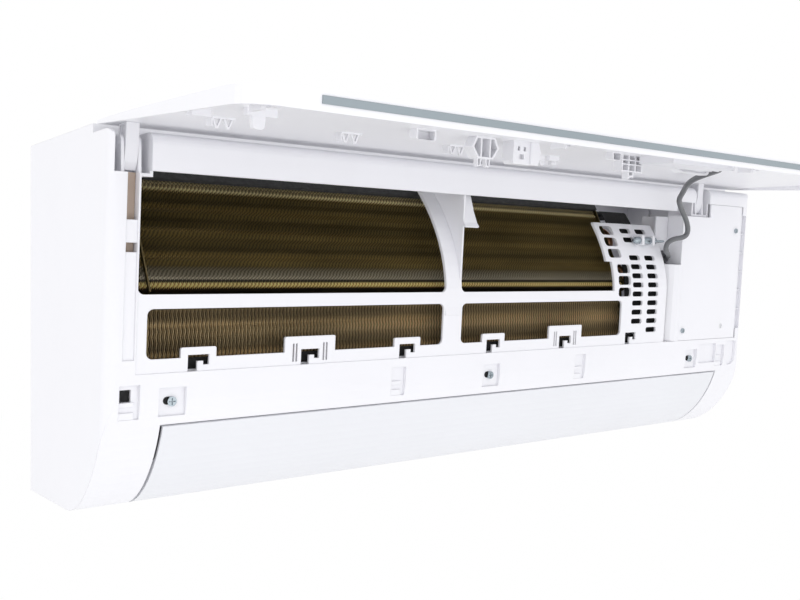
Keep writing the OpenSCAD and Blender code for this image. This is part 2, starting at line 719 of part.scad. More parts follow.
module outlet_duct() color("white") difference() {
  union() {
    along_x(-outlet_x - shell_t, outlet_x + shell_t) polygon([tongue, tongue + tongue_top,
      tongue + tongue_back, tongue + vane_u / 2 * wall_way - shell_t * wall_in,
      lip_point - shell_t * wall_in, lip_point]);
    for (k = [0:vane_count]) on_duct(vane_x0 + k * vane_pitch) translate([0, vane_u, -boss_h])
      cylinder(r = boss_r, h = boss_h, $fn = 32);
    screw_holes(screw_boss_r, sink_t + shell_t, screw_boss_l);
    // Cheeks at both ends of the outlet
    for (s = [-1, 1]) translate([s * (outlet_x + shell_t / 2), 0, 0]) along_x(-shell_t / 2, shell_t / 2)
      intersection() {
        polygon(inset(casing_side(0), shell_t + side_gap));
        polygon(concat([tongue, tongue + tongue_top, tongue + tongue_back, lip_point - shell_t * wall_in,
          [-2 * face_d, lip_point[1]], [-2 * face_d, -zt]],
          [[scroll_path[track_steps][0], -zt]], backwards([for (i = [8:track_steps]) scroll_path[i]])));
      }
  }
  for (k = [0:vane_count]) on_duct(vane_x0 + k * vane_pitch) translate([0, vane_u, -2 * boss_h])
    cylinder(r = vane_pin_r + run_gap, h = 3 * boss_h, $fn = 24);
  rod_x(louver_pin_r + run_gap, -xw, xw, pivot_y, pivot_z);
  screw_holes(screw_r + seat_gap, 0, screw_boss_l);
}

pan_x1 = wall_r_x0 - side_gap;
pan_y0 = -coil_d - pan_front;
pan_y1 = -coil_d + coil_t + pan_back + pan_t;
hose_wall = 1.4;
hose_in = 23;
hose_x = hose_in - xw;
hose_front = 12;
hose_y = hose_front - coil_d;
hose_back_y = -20;
hose_mid_z = -88;
hose_up = 26;
hose_run_z = hose_up - zt;
hose_end_x = -60;
spout_h = 14;
plug_r = 5;
plug_head = 3;
module drain_pan() color("whitesmoke") difference() {
  union() {
    block([coil_x0 - pan_t, pan_y0, pan_z], [pan_x1, pan_y1, pan_z + pan_t]);
    block([coil_x0 - pan_t, pan_y0, pan_z], [pan_x1, pan_y0 + pan_t, pan_z + pan_lip_h]);
    block([coil_x0 - pan_t, pan_y1 - pan_t, pan_z], [pan_x1, pan_y1, pan_z + pan_low_share * pan_lip_h]);
    for (x = [coil_x0 - pan_t, pan_x1 - pan_t])
      block([x, pan_y0, pan_z], [x + pan_t, pan_y1, pan_z + pan_low_share * pan_lip_h]);
    // Spout at the left end for the hose, and the plugged one at the right
    translate([hose_x, hose_y, pan_z - spout_h + pan_t])
      cylinder(r = hose_r - hose_wall - seat_gap, h = spout_h, $fn = 32);
    block([hose_x - hose_r, hose_y - hose_r, pan_z], [coil_x0, hose_y + hose_r, pan_z + pan_t]);
    translate([pan_x1 - over, hose_y, pan_z + plug_r + over]) rotate([0, 90, 0])
      cylinder(r = plug_r + pan_t, h = spout_h, $fn = 32);
  }
  translate([hose_x, hose_y, pan_z - spout_h]) cylinder(r = hose_r - 2 * hose_wall, h = 2 * spout_h,
    $fn = 32);
  translate([pan_x1 - 2 * pan_t, hose_y, pan_z + plug_r + over]) rotate([0, 90, 0])
    cylinder(r = plug_r, h = 2 * spout_h, $fn = 32);
}
module drain_plug() color("dimgray") union() {
  translate([pan_x1 - pan_t, hose_y, pan_z + plug_r + over]) rotate([0, 90, 0])
    cylinder(r = plug_r - seat_gap, h = spout_h + pan_t, $fn = 32);
  translate([pan_x1 + spout_h - over, hose_y, pan_z + plug_r + over]) rotate([0, 90, 0])
    cylinder(r = plug_r + pan_t, h = plug_head, $fn = 32);
}

// Quarter turn of a tube of radius r from way a to way b, about a centre line of radius bend
module elbow(at, a, b, bend, r) {
  c = at - bend * a + bend * b;
  n = cross(-b, a);
  multmatrix([[-b[0], a[0], n[0], c[0]], [-b[1], a[1], n[1], c[1]], [-b[2], a[2], n[2], c[2]], [0, 0, 0, 1]])
    rotate_extrude(angle = 90, $fn = 48) translate([bend, 0]) circle(r = r, $fn = 32);
}
module straight(a, b, r) {
  d = unit_vec(b - a);
  translate(a) rotate([0, acos(d[2]), atan2(d[1], d[0])]) cylinder(r = r, h = norm(b - a), $fn = 32);
}
// Tube along points whose runs are square to each other
module tube(p, r, bend) union() for (i = [0:len(p) - 2]) {
  d = unit_vec(p[i + 1] - p[i]);
  straight(p[i] + (i > 0 ? bend : 0) * d, p[i + 1] - (i < len(p) - 2 ? bend : 0) * d, r);
  if (i < len(p) - 2) elbow(p[i + 1], d, unit_vec(p[i + 2] - p[i + 1]), bend, r);
}
function hose_path(z0, x1) = [[hose_x, hose_y, z0], [hose_x, hose_y, hose_mid_z],
  [hose_x, hose_back_y, hose_mid_z], [hose_x, hose_back_y, hose_run_z], [x1, hose_back_y, hose_run_z]];
hose_bend = 1.8 * hose_r;
// Ribs along the hose's straight run at the back
hose_ribs = 48;
hose_rib_x0 = hose_x + 3 * hose_r;
hose_rib_pitch = (hose_end_x - 2 * hose_r - hose_rib_x0) / hose_ribs;
module drain_hose() color("gainsboro") difference() {
  union() {
    tube(hose_path(pan_z - side_gap, hose_end_x), hose_r, hose_bend);
    for (k = [0:hose_ribs - 1]) rod_x(hose_r + hose_wall / 2, hose_rib_x0 + k * hose_rib_pitch,
      hose_rib_x0 + (k + 0.5) * hose_rib_pitch, hose_back_y, hose_run_z);
  }
  tube(hose_path(pan_z, hose_end_x + over), hose_r - hose_wall, hose_bend);
}

// Coil slabs: front top corner's depth line, lean and length; the rear one hangs from the apex
function slab(i) = i == 0 ? [-coil_d, coil_z0, 0, coil_low_h] :
  i == 1 ? [-coil_d - up_back, coil_z0 + coil_low_h + joint_gap, -up_lean, coil_up_l] :
  [slab_at(1, 0, coil_up_l)[0] + coil_t * (cos(up_lean) + cos(rear_lean)) + slab_gap,
   slab_at(1, 0, coil_up_l)[1], rear_lean - 180, coil_rear_l];
// Point of slab i at depth d and a along it
function slab_at(i, d, a) = let (s = slab(i)) [s[0] + d * cos(s[2]) - a * sin(s[2]),
  s[1] + d * sin(s[2]) + a * cos(s[2])];
function rows(i) = round(slab(i)[3] / tube_pitch);
function row_a(i, k) = (k + 0.5) * slab(i)[3] / rows(i);
module on_slab(i) translate([0, slab(i)[0], slab(i)[1]]) rotate([slab(i)[2], 0, 0]) children();
module tube_holes(i, r, x0, x1) on_slab(i) for (k = [0:rows(i) - 1], d = [coil_t / 4, 3 * coil_t / 4])
  rod_x(r, x0, x1, d, row_a(i, k));
module fins(i) color("darkgoldenrod") difference() {
  on_slab(i) block([coil_x0 + end_plate_t, 0, 0], [coil_x1, coil_t, slab(i)[3]]);
  tube_holes(i, tube_r + seat_gap, coil_x0 - over, coil_x1 + over);
}
module coil_fins_lower() fins(0);
module coil_fins_upper() fins(1);
module coil_fins_rear() fins(2);
tube_end = 3;
module coil_tubes() color("peru") union() for (i = [0:2]) {
  x0 = coil_x0 - tube_end;
  x1 = coil_x1 + end_plate_t + tube_end;
  pitch = slab(i)[3] / rows(i);
  tube_holes(i, tube_r, x0, x1);
  on_slab(i) for (k = [0:rows(i) - 1]) {
    // Hairpin at the left, return bends at the right
    translate([x0, coil_t / 2, row_a(i, k)]) rotate([0, 0, 90])
      rotate_extrude(angle = 180, $fn = 48) translate([coil_t / 4, 0]) circle(r = tube_r, $fn = 24);
    for (d = [0, 1]) if (k % 2 == d && k < rows(i) - 1)
      translate([x1, coil_t * (1 + 2 * d) / 4, row_a(i, k) + pitch / 2]) rotate([90, 0, 0]) rotate([0,
        0, -90])
        rotate_extrude(angle = 180, $fn = 48) translate([pitch / 2, 0]) circle(r = tube_r, $fn = 24);
  }
}
module coil_end(x0) color("silver") difference() {
  along_x(x0, x0 + end_plate_t) union() {
    polygon([slab_at(0, -plate_rim, coil_low_h + plate_rim), slab_at(0, coil_t + plate_rim,
      coil_low_h + plate_rim),
      slab_at(1, coil_t + plate_rim, joint_gap), slab_at(1, -plate_rim, joint_gap)]);
    polygon([slab_at(1, 0, coil_up_l), slab_at(2, 0, 0), slab_at(2, coil_t, joint_gap),
      slab_at(1, coil_t, coil_up_l - joint_gap)]);
    polygon([[-coil_d - plate_rim / 3, pan_z + pan_t], slab_at(0, -plate_rim, coil_low_h / 2),
      slab_at(0, -plate_rim, coil_low_h + plate_rim), slab_at(0, coil_t + plate_rim, coil_low_h + plate_rim),
      slab_at(0, coil_t + plate_rim, coil_low_h / 2), [-coil_d + coil_t + plate_rim / 3, pan_z + pan_t]]);
    for (i = [1, 2]) polygon([slab_at(i, -plate_rim, -plate_rim), slab_at(i, -plate_rim,
      slab(i)[3] + plate_rim),
      slab_at(i, coil_t + plate_rim, slab(i)[3] + plate_rim), slab_at(i, coil_t + plate_rim, -plate_rim)]);
  }
  for (i = [0:2]) tube_holes(i, tube_r + seat_gap, x0 - over, x0 + end_plate_t + over);
}
module coil_end_left() coil_end(coil_x0);
module coil_end_right() coil_end(coil_x1);
seal_t = 4;
seal_h = 11;
module coil_seal() color("black") on_slab(1)
  block([coil_x0 + end_plate_t, -seal_t, coil_up_l - seal_h], [coil_x1, 0, coil_up_l]);

// Pipes from the coil's right end down the back and along behind the scroll
gas_out = 22;
liquid_out = 66;
gas_x = coil_x1 + gas_out;
liquid_x = coil_x1 + liquid_out;
pipe_end_x = -40;
pipe_up = 51;
pipe_run_z = pipe_up - zt;
liquid_y = -20;
gas_bend = 12;
liquid_bend = 10;
gas_from = slab_at(2, coil_t / 4, row_a(2, rows(2) - 1));
liquid_from = slab_at(1, coil_t / 4, row_a(1, rows(1) - 1));
pipe_x0 = coil_x1 + end_plate_t + tube_end;
module gas_pipe() color("peru") tube([[pipe_x0, gas_from[0], gas_from[1]], [gas_x, gas_from[0], gas_from[1]],
  [gas_x, gas_from[0], pipe_run_z], [pipe_end_x, gas_from[0], pipe_run_z]], gas_r, gas_bend);
module liquid_pipe() color("peru") tube([[pipe_x0, liquid_from[0], liquid_from[1]],
  [liquid_x, liquid_from[0], liquid_from[1]], [liquid_x, liquid_y, liquid_from[1]],
  [liquid_x, liquid_y, pipe_run_z], [pipe_end_x, liquid_y, pipe_run_z]], liquid_r, liquid_bend);
nut_l = 20;
nut_rim = 1;
stub_l = 12;
module flare_nuts() color("goldenrod") for (p = [[gas_r, gas_from[0], pipe_run_z], [liquid_r, liquid_y,
  pipe_run_z]])
  difference() {
    union() {
      translate([pipe_end_x - nut_l / 2, p[1], p[2]]) rotate([0, 90, 0])
        cylinder(r = 1.9 * p[0] + nut_rim, h = nut_l, $fn = 6);
      rod_x(1.5 * p[0], pipe_end_x - nut_l / 2 - stub_l, pipe_end_x, p[1], p[2]);
    }
    rod_x(p[0] + seat_gap, pipe_end_x - nut_l, pipe_end_x + nut_l, p[1], p[2]);
  }
clamp_x = 60;
clamp_w = 14;
clamp_wall = 5;
module pipe_clamp() color("gray") difference() {
  block([clamp_x, gas_from[0] - gas_r - clamp_wall, pipe_run_z - gas_r - clamp_wall],
    [clamp_x + clamp_w, back_y - shell_t, pipe_run_z + gas_r + clamp_wall]);
  rod_x(gas_r + seat_gap, clamp_x - over, clamp_x + clamp_w + over, gas_from[0], pipe_run_z);
  rod_x(liquid_r + seat_gap, clamp_x - over, clamp_x + clamp_w + over, liquid_y, pipe_run_z);
}

// Fan wheel with its discs and curved blades, and the shaft ends
disc_t = 2;
disc_n = 9;
blade_t = 1;
blade_root = 12;
blade_sweep = 16;
hub_l = 22;
module on_fan(x) translate([x, fan_y, fan_z]) rotate([90, 0, 90]) children();
module fan_wheel() color("dimgray") union() {
  for (k = [0:disc_n - 1]) on_fan(fan_x0 + (fan_x1 - fan_x0 - disc_t) * k / (disc_n - 1))
    linear_extrude(disc_t) difference() {
      circle(r = fan_r, $fn = 64);
      circle(r = k == 0 || k == disc_n - 1 ? shaft_r + seat_gap : fan_r - blade_root - 3 * blade_t, $fn = 64);
    }
  for (x = [fan_x0 + disc_t / 2, fan_x1 - hub_l]) on_fan(x) linear_extrude(hub_l - disc_t / 2) difference() {
    circle(r = 3 * shaft_r, $fn = 32);
    circle(r = shaft_r + seat_gap, $fn = 32);
  }
  on_fan(fan_x0 + disc_t / 2) linear_extrude(fan_x1 - fan_x0 - disc_t) for (k = [0:fan_blades - 1])
    rotate(360 * k / fan_blades) polygon(ribbon([for (i = [0:3])
      let (r = fan_r - blade_t - blade_root * i / 3,
      a = blade_sweep * pow(i / 3, 1.5)) [r * cos(a), r * sin(a)]], blade_t));
}
shaft_in = 18;
motor_x0 = wall_r_x1 + wheel_gap;
motor_x1 = motor_x0 + motor_l;
bearing_over = 1.5;
module fan_shaft() color("silver") union() {
  rod_x(shaft_r, wall_l_x0 - bearing_over, fan_x0 + shaft_in, fan_y, fan_z);
  rod_x(shaft_r, fan_x1 - shaft_in, motor_x0 + motor_l / 2, fan_y, fan_z);
}
module fan_bearing() color("black") difference() {
  rod_x(bearing_r - seat_gap, wall_l_x0 - bearing_over, wall_l_x1 + bearing_over, fan_y, fan_z);
  rod_x(shaft_r + run_gap, wall_l_x0 - 2 * bearing_over, wall_l_x1 + 2 * bearing_over, fan_y, fan_z);
}
module fan_motor() color("gainsboro") difference() {
  union() {
    rod_x(motor_r, motor_x0 + motor_l / 8, motor_x1 - motor_l / 8, fan_y, fan_z);
    rod_x(motor_r - motor_step, motor_x0, motor_x1, fan_y, fan_z);
  }
  rod_x(shaft_r + run_gap, motor_x0 - over, motor_x0 + motor_l / 2 + over, fan_y, fan_z);
}
motor_step = 6;
band_t = 3;
band_in = 12;
module motor_bracket() color("white") difference() {
  union() {
    rod_x(motor_r + band_t, motor_x0 + band_in, motor_x1 - band_in, fan_y, fan_z);
    block([motor_x0 + band_in, fan_y + motor_r, fan_z - band_in], [motor_x1 - band_in, back_y - shell_t,
      fan_z + band_in]);
  }
  rod_x(motor_r + seat_gap, motor_x0, motor_x1, fan_y, fan_z);
}

// Electric box behind the flat cover at the right
box_t = 2;
box_deep = 62;
box_in = 3;
box_x0 = cover_x0 + box_in;
box_x1 = cover_x1 - over;
box_up = 4;
box_z0 = rail_z0 + box_up;
box_top_drop = 27;
box_z1 = face_top - box_top_drop;
cover_t = 2;
side_x0 = guard_x1 + over;
side_deep = 22;
side_z0 = 52;
side_foot = 10;
gland_in = 143.5;
gland_x = xw - gland_in;
gland_z = 60;
gland_r = 7.5;
gland_lip = 5;
gland_neck = 1.5;
board_y = 40;
board_t = 1.6;
board_in = 8;
post_r = 3;
button_in = 46.6;
button_x = xw - button_in;
button_z = -22.5;
button_r = 2.6;
button_l = 20;
button_rim = 1.4;
button_in_y = 0.6;
button_play = 1.2;
cover_screw_r = 1.5;
cover_screw_in = 11;
cover_screw_up = 12;
cover_screw_at = [[cover_x0 + cover_screw_in, rail_z0 + cover_screw_up],
  [cover_x1 - cover_screw_in, box_z1 - cover_screw_up]];
cover_screw_l = 11;
cover_head = 1.6;
frame_screw_l = 18;
board_x0 = box_x0 + board_in / 2;
board_x1 = box_x1 - board_in / 2;
board_z0 = box_z0 + 2 * board_in;
board_z1 = box_z1 - 2.5 * board_in;
function posts() = [for (x = [board_x0 + board_in, board_x1 - board_in], z = [board_z0 + board_in,
  board_z1 - board_in])
  [x, z]];

module electric_box() color("whitesmoke") on_face() difference() {
  union() {
    difference() {
      block([box_x0, cover_t, box_z0], [box_x1, box_deep, box_z1]);
      block([box_x0 + box_t, 0, box_z0 + box_t], [box_x1 - box_t, box_deep - box_t, box_z1 - box_t]);
    }
    block([side_x0, side_deep, side_z0 - side_foot], [box_x0 + box_t, side_deep + box_t, box_z1]);
    for (p = posts()) translate([p[0], board_y + board_t, p[1]]) rotate([-90, 0, 0])
      cylinder(r = post_r, h = box_deep - board_y - board_t - over / 2, $fn = 24);
    for (p = cover_screw_at) translate([p[0], cover_t, p[1]]) rotate([-90, 0, 0])
      cylinder(r = 2.4 * cover_screw_r, h = box_deep - cover_t, $fn = 24);
  }
  for (p = cover_screw_at) translate([p[0], 0, p[1]]) rotate([-90, 0, 0])
    cylinder(r = cover_screw_r + seat_gap, h = 2 * cover_screw_l, $fn = 24);
  translate([gland_x, 0, gland_z]) rotate([-90, 0, 0]) cylinder(r = gland_r - gland_neck, h = box_deep,
    $fn = 32);
}
module electric_cover() color("white") on_face() difference() {
  union() {
    block([cover_x0, 0, rail_z0 + side_gap], [cover_x1, cover_t, pocket_floor - side_gap]);
    block([arm_xs[1] + arm_w / 2 + arm_gap + ear_t + side_gap, 0, rail_z0 + side_gap],
      [cover_x1, cover_t, face_top - header_h / 2 - side_gap]);
    // Curved flank beside the slotted guard
    translate([0, 0, rail_z0 + side_gap]) linear_extrude(side_z0 - rail_z0 - side_gap) polygon(ribbon(
      [for (i = [0:arc_steps]) let (a = 90 * i / arc_steps)
        [cover_x0 + over - flank_w * cos(a), side_deep - side_deep * sin(a)]], cover_t));
    block([cover_x0, 0, side_z0], [cover_x0 + cover_t, side_deep - side_gap, pocket_floor - side_gap]);
  }
  translate([button_x, -over, button_z]) rotate([-90, 0, 0]) cylinder(r = button_r + side_gap,
    h = cover_t + 2 * over, $fn = 32);
  for (p = cover_screw_at) translate([p[0], -over, p[1]]) rotate([-90, 0, 0])
    cylinder(r = cover_screw_r + side_gap, h = cover_t + 2 * over, $fn = 24);
}
pocket_floor = face_top - pocket_h - ear_t;
flank_w = 20;
module cross_screw(r, l, head) difference() {
  union() {
    translate([0, -head, 0]) rotate([-90, 0, 0]) cylinder(r = 2 * r, h = head, $fn = 32);
    rotate([-90, 0, 0]) cylinder(r = r, h = l, $fn = 24);
  }
  for (a = [0, 90]) rotate([0, a, 0]) translate([-1.4 * r, -head - over, -r / 5]) cube([2.8 * r,
    over + head / 2, 2 * r / 5]);
}
module cover_screws() color("silver") on_face() for (p = cover_screw_at)
  translate([p[0], 0, p[1]]) cross_screw(cover_screw_r, cover_screw_l, cover_head);
module frame_screws() color("silver") on_face() for (x = screw_xs)
  translate([x, sink_t, screw_z]) cross_screw(screw_r, frame_screw_l, head_h);
module control_board() color("seagreen") on_face()
  block([board_x0, board_y, board_z0], [board_x1, board_y + board_t, board_z1]);
board_w = board_x1 - board_x0;
// Round and square parts on the board: place across and up, radius and height, or width, height and depth
round_shares = [[0.2, 0.25, 0.085, 0.25], [0.2, 0.5, 0.065, 0.2], [0.62, 0.7, 0.045, 0.13]];
square_shares = [[0.52, 0.35, 0.22, 0.18, 0.16], [0.25, 0.8, 0.24, 0.17, 0.22], [0.85, 0.75, 0.09, 0.28,
  0.08]];
module on_board(p) translate([board_x0 + p[0] * board_w, board_y,
  board_z0 + p[1] * (board_z1 - board_z0)]) children();
module board_parts() color("darkslategray") on_face() {
  for (p = round_shares) on_board(p) rotate([90, 0, 0]) cylinder(r = p[2] * board_w, h = p[3] * board_w,
    $fn = 32);
  for (p = square_shares) on_board(p) translate([-p[2] * board_w / 2, -p[4] * board_w, -p[3] * board_w / 2])
    cube([p[2], p[4], p[3]] * board_w);
  // The switch under the button
  block([button_x - 2 * button_r, button_in_y + button_l + button_play, button_z - 2 * button_r],
    [button_x + 2 * button_r, board_y, button_z + 2 * button_r]);
}
terminals = 5;
terminal_w = 11;
well_r = 3;
block_h = 11;
block_deep = 22;
block_y0 = 10;
block_x0 = box_x0 + 2 * cover_screw_in;
block_z0 = box_z0 + box_t + seat_gap;
module terminal_block() color("dimgray") on_face() difference() {
  block([block_x0, block_y0, block_z0], [block_x0 + terminals * terminal_w, block_y0 + block_deep,
    block_z0 + block_h]);
  // Screw wells
  for (k = [0:terminals - 1]) translate([block_x0 + (k + 0.5) * terminal_w, block_y0 + block_deep / 2,
    block_z0 + block_h / 2])
    cylinder(r = well_r, h = block_h, $fn = 24);
}
module auto_button() color("lightgray") on_face() translate([button_x, button_in_y, button_z])
  rotate([-90, 0, 0]) union() {
  cylinder(r = button_r, h = button_l, $fn = 32);
  translate([0, 0, cover_t + button_rim]) cylinder(r = button_r + button_rim, h = button_rim, $fn = 32);
}

// Room sensor held in front of the slotted guard
sensor_r = 4;
sensor_w = 41;
sensor_in = 10;
sensor_off = 2;
sensor_up = 7;
sensor_x1 = guard_x1 - sensor_in;
sensor_x0 = sensor_x1 - sensor_w;
sensor_z = slot_top_z - slot_pitch * sensor_row + sensor_up;
sensor_y = track_y(sensor_z) - sensor_r - sensor_off;
sensor_out = 16;
clip_in = 9;
clip_w = 4;
clip_rim = 1.5;
clip_z = sensor_r + clip_rim;
sensor_lead_r = 1.2;
module room_sensor() color("silver") union() {
  rod_x(sensor_r, sensor_x0 + sensor_r, sensor_x1 - sensor_r, sensor_y, sensor_z);
  for (x = [sensor_x0 + sensor_r, sensor_x1 - sensor_r]) translate([x, sensor_y, sensor_z])
    sphere(r = sensor_r, $fn = 32);
  tube([[sensor_x1 - sensor_r, sensor_y, sensor_z], [sensor_x1 + sensor_out, sensor_y, sensor_z],
    [sensor_x1 + sensor_out, face_y(sensor_z) + side_deep - side_gap, sensor_z]], sensor_lead_r, sensor_r);
}
module sensor_clip() color("white") difference() {
  for (x = [sensor_x0 + clip_in, sensor_x1 - clip_in - clip_w])
    block([x, sensor_y - sensor_r - over, sensor_z - clip_z],
      [x + clip_w, track_y(sensor_z + clip_z), sensor_z + clip_z]);
  rod_x(sensor_r + seat_gap, sensor_x0, sensor_x1, sensor_y, sensor_z);
  along_x(sensor_x0, sensor_x1) polygon([for (p = ribbon(track_path(rail_z0, head_z1), 3 * sensor_r))
    p - [seat_gap, 0]]);
}

// Rubber grommet where the display lead enters the electric box
module cable_gland() color("dimgray") on_face() translate([gland_x, side_deep, gland_z]) rotate([-90, 0,
  0]) difference() {
  union() {
    translate([0, 0, -gland_lip - seat_gap]) cylinder(r = gland_r, h = gland_lip, $fn = 32);
    translate([0, 0, -gland_lip]) cylinder(r = gland_r - gland_neck - seat_gap,
      h = gland_lip + box_t + over, $fn = 32);
  }
  translate([0, 0, -2 * gland_lip]) cylinder(r = lead_r + side_gap / 2, h = 4 * gland_lip, $fn = 32);
}

// Front panel, drawn shut in the face's frame and raised about its hinge
panel_gap = 0.6;
panel_over = 15;
panel_foot = 71;
panel_z1 = face_top + panel_over;
panel_z0 = panel_foot - zt;
panel_len = panel_z1 - panel_z0;
panel_steps = 10;
panel_power = 0.7;
strip_up = 4.5;
strip_t = 0.8;
strip_end = 49;
axis_y = hinge_in * cos(face_lean);
axis_z = face_top / cos(face_lean) - hinge_in * sin(face_lean);
function panel_depth(z) = panel_t + (panel_deep - panel_t) * pow(max(0, (panel_z1 - z) / panel_len),
  panel_power);
function panel_side(rim_y) = concat([[rim_y, panel_z1]], [for (i = [0:panel_steps])
  let (z = panel_z1 - panel_len * i / panel_steps) [-panel_gap - panel_depth(z), z]], [[rim_y, panel_z0]]);
// Depth of the skin's inner surface at height z
function skin_y(z) = -panel_gap - panel_depth(z) + panel_t;
module raised() translate([0, hinge_y, hinge_z]) rotate([-90, 0, 0]) translate([0, -hinge_y, -hinge_z])
  on_face() children();
module panel_shell() color("white") raised() difference() {
  intersection() {
    along_x(-xw, xw) polygon(panel_side(-panel_gap));
    along_y(-2 * panel_deep, 0) polygon(round_rect(-xw, panel_z0, xw, panel_z1 + panel_len, panel_corner_r));
  }
  intersection() {
    along_x(panel_t - xw, xw - panel_t) polygon(inset(panel_side(panel_t), -panel_t));
    along_y(-2 * panel_deep, panel_deep) polygon(round_rect(panel_t - xw, panel_z0 + panel_t, xw - panel_t,
      panel_z1 + panel_len, panel_corner_r - panel_t));
  }
}
module panel_strip() color("silver") raised() block([strip_end - xw, -panel_gap - strip_up - strip_h,
  panel_z0 - strip_t],
  [xw - strip_end, -panel_gap - strip_up, panel_z0]);
// Space inside the panel, open towards the unit
module panel_inside() along_x(panel_t - xw, xw - panel_t)
  polygon(inset(panel_side(4 * panel_deep), -panel_t - seat_gap));
// Arm's outline seen from the side, as shares of its reach from the hinge axis, and its side recesses
arm_shares = [[-1.5, 0.35], [-1.5, -0.45], [0, -0.4], [0.7, -0.3], [1, -0.15], [1, 0], [0.7, 0.15], [0, 0.3]];
arm_cut_shares = [[-0.65, -0.3], [-0.25, -0.28], [-0.25, 0.2], [-0.65, 0.22]];
arm_cut = 2;
module hinge_arm(x) color("white") raised() union() {
  difference() {
    intersection() {
      along_x(x - arm_w / 2, x + arm_w / 2)
        polygon([for (p = arm_shares) [axis_y + p[0] * arm_reach, axis_z + p[1] * arm_reach]]);
      panel_inside();
    }
    for (s = [-1, 1]) translate([x + s * arm_w / 2, 0, 0]) along_x(-arm_cut, arm_cut)
      polygon([for (p = arm_cut_shares) [axis_y + p[0] * arm_reach, axis_z + p[1] * arm_reach]]);
  }
  l = arm_w / 2 + side_gap + ear_t + side_gap;
  translate([x - l, axis_y, axis_z]) rotate([0, 90, 0]) cylinder(r = hinge_pin_r, h = 2 * l, $fn = 32);
}
module hinge_arm_left() hinge_arm(arm_xs[0]);
module hinge_arm_right() hinge_arm(arm_xs[1]);

// Latches at the panel's free edge, and the ribs and clips under its skin
latch_in = 1.4;
latch_foot = 4;
latch_rise = 14;
clip_t = 1.6;
rim_y = -panel_gap - side_gap;
// Each open frame of ribs: place from the left end, height on the panel, width and height
rib_frames = [[172, -19, 20, 26], [300, -30, 34, 16], [342, -44, 17.5, 22], [360, -44, 17.5, 22],
  [378, -44, 17.5, 22], [396, -44, 17.5, 22]];
prong_at = [233, -4];
prong_size = [34, 10];
prong_in = 12;
prong_pitch = 14;
prong_w = 4;
tab_at = [270, -14];
tab_size = [22, 18];
tab_hole = 4;
module rib_frame(x, z, w, h) difference() {
  block([x, -2 * panel_deep, z], [x + w, rim_y, z + h]);
  block([x + clip_t, -3 * panel_deep, z + clip_t], [x + w - clip_t, 0, z + h - clip_t]);
}
module panel_clips() color("white") raised() intersection() {
  union() {
    for (x = latch_xs) translate([x, 0, latch_z0 + latch_foot]) {
      block([2 * clip_t - latch_w / 2, -2 * panel_deep, 0], [-clip_t, latch_in, latch_rise]);
      block([2 * clip_t - latch_w / 2, -2 * panel_deep, 0], [latch_w / 2, rim_y, latch_rise / 2]);
    }
    for (f = rib_frames) rib_frame(f[0] - xw, f[1], f[2], f[3]);
    // Clip with two prongs that reach the grid
    rib_frame(prong_at[0] - xw, prong_at[1], prong_size[0], prong_size[1]);
    for (s = [-1, 1])
      translate([prong_at[0] - xw + prong_size[0] / 2 + s * prong_pitch / 2 - prong_w / 2, 0, prong_at[1]])
      block([0, -2 * panel_deep, 0], [prong_w, prong_in, 2 * clip_t]);
    // Tab with two holes
    translate([tab_at[0] - xw, 0, tab_at[1]]) difference() {
      block([0, -2 * panel_deep, 0], [tab_size[0], rim_y, tab_size[1]]);
      for (k = [1, 3]) block([k * tab_size[0] / 4 - tab_hole / 2, -panel_deep / 2, tab_size[1] / 3],
        [k * tab_size[0] / 4 + tab_hole / 2, over, 2 * tab_size[1] / 3]);
    }
  }
  panel_inside();
}

// Display behind the panel's skin, with its board and the clip that holds its lead
disp_x0 = 20;
disp_x1 = 112;
disp_z0 = -46;
disp_z1 = -10;
disp_t = 1.2;
lead_in = 4;
lead_z = -19.4;
module display_box() color("whitesmoke") raised() difference() {
  intersection() {
    block([disp_x0, -2 * panel_deep, disp_z0], [disp_x1, rim_y, disp_z1]);
    panel_inside();
  }
  block([disp_x0 + disp_t, -3 * panel_deep, disp_z0 + disp_t],
    [disp_x1 - disp_t, rim_y - disp_t, disp_z1 - disp_t]);
}
module display_board() color("seagreen") raised() block(
  [disp_x0 + disp_t + side_gap, rim_y - 2.5 * disp_t, disp_z0 + disp_t + side_gap],
  [disp_x1 - disp_t - side_gap, rim_y - disp_t - seat_gap, disp_z1 - disp_t - side_gap]);
clip_l = 6;
clip_out = 3;
module lead_clip() color("white") raised() difference() {
  intersection() {
    block([disp_x1 + clip_out, -2 * panel_deep, lead_z - lead_r - clip_t],
      [disp_x1 + clip_out + clip_l, rim_y, lead_z + lead_r + clip_t]);
    panel_inside();
  }
  translate([disp_x1, -panel_gap - lead_in, lead_z]) rotate([0, 90, 0])
    cylinder(r = lead_r + side_gap, h = 3 * clip_l, $fn = 24);
  block([disp_x1, -panel_gap - lead_in, lead_z - lead_r - side_gap], [disp_x1 + 3 * clip_l, over,
    lead_z + lead_r + side_gap]);
}

// Point of the face's frame in the unit's frame, and the same once the panel is raised
function face_pt(p) = [p[0], -face_d + p[1] * cos(face_lean) - p[2] * sin(face_lean),
  p[1] * sin(face_lean) + p[2] * cos(face_lean)];
function raised_pt(p) = let (q = face_pt(p)) [q[0], hinge_y + q[2] - hinge_z, hinge_z - q[1] + hinge_y];
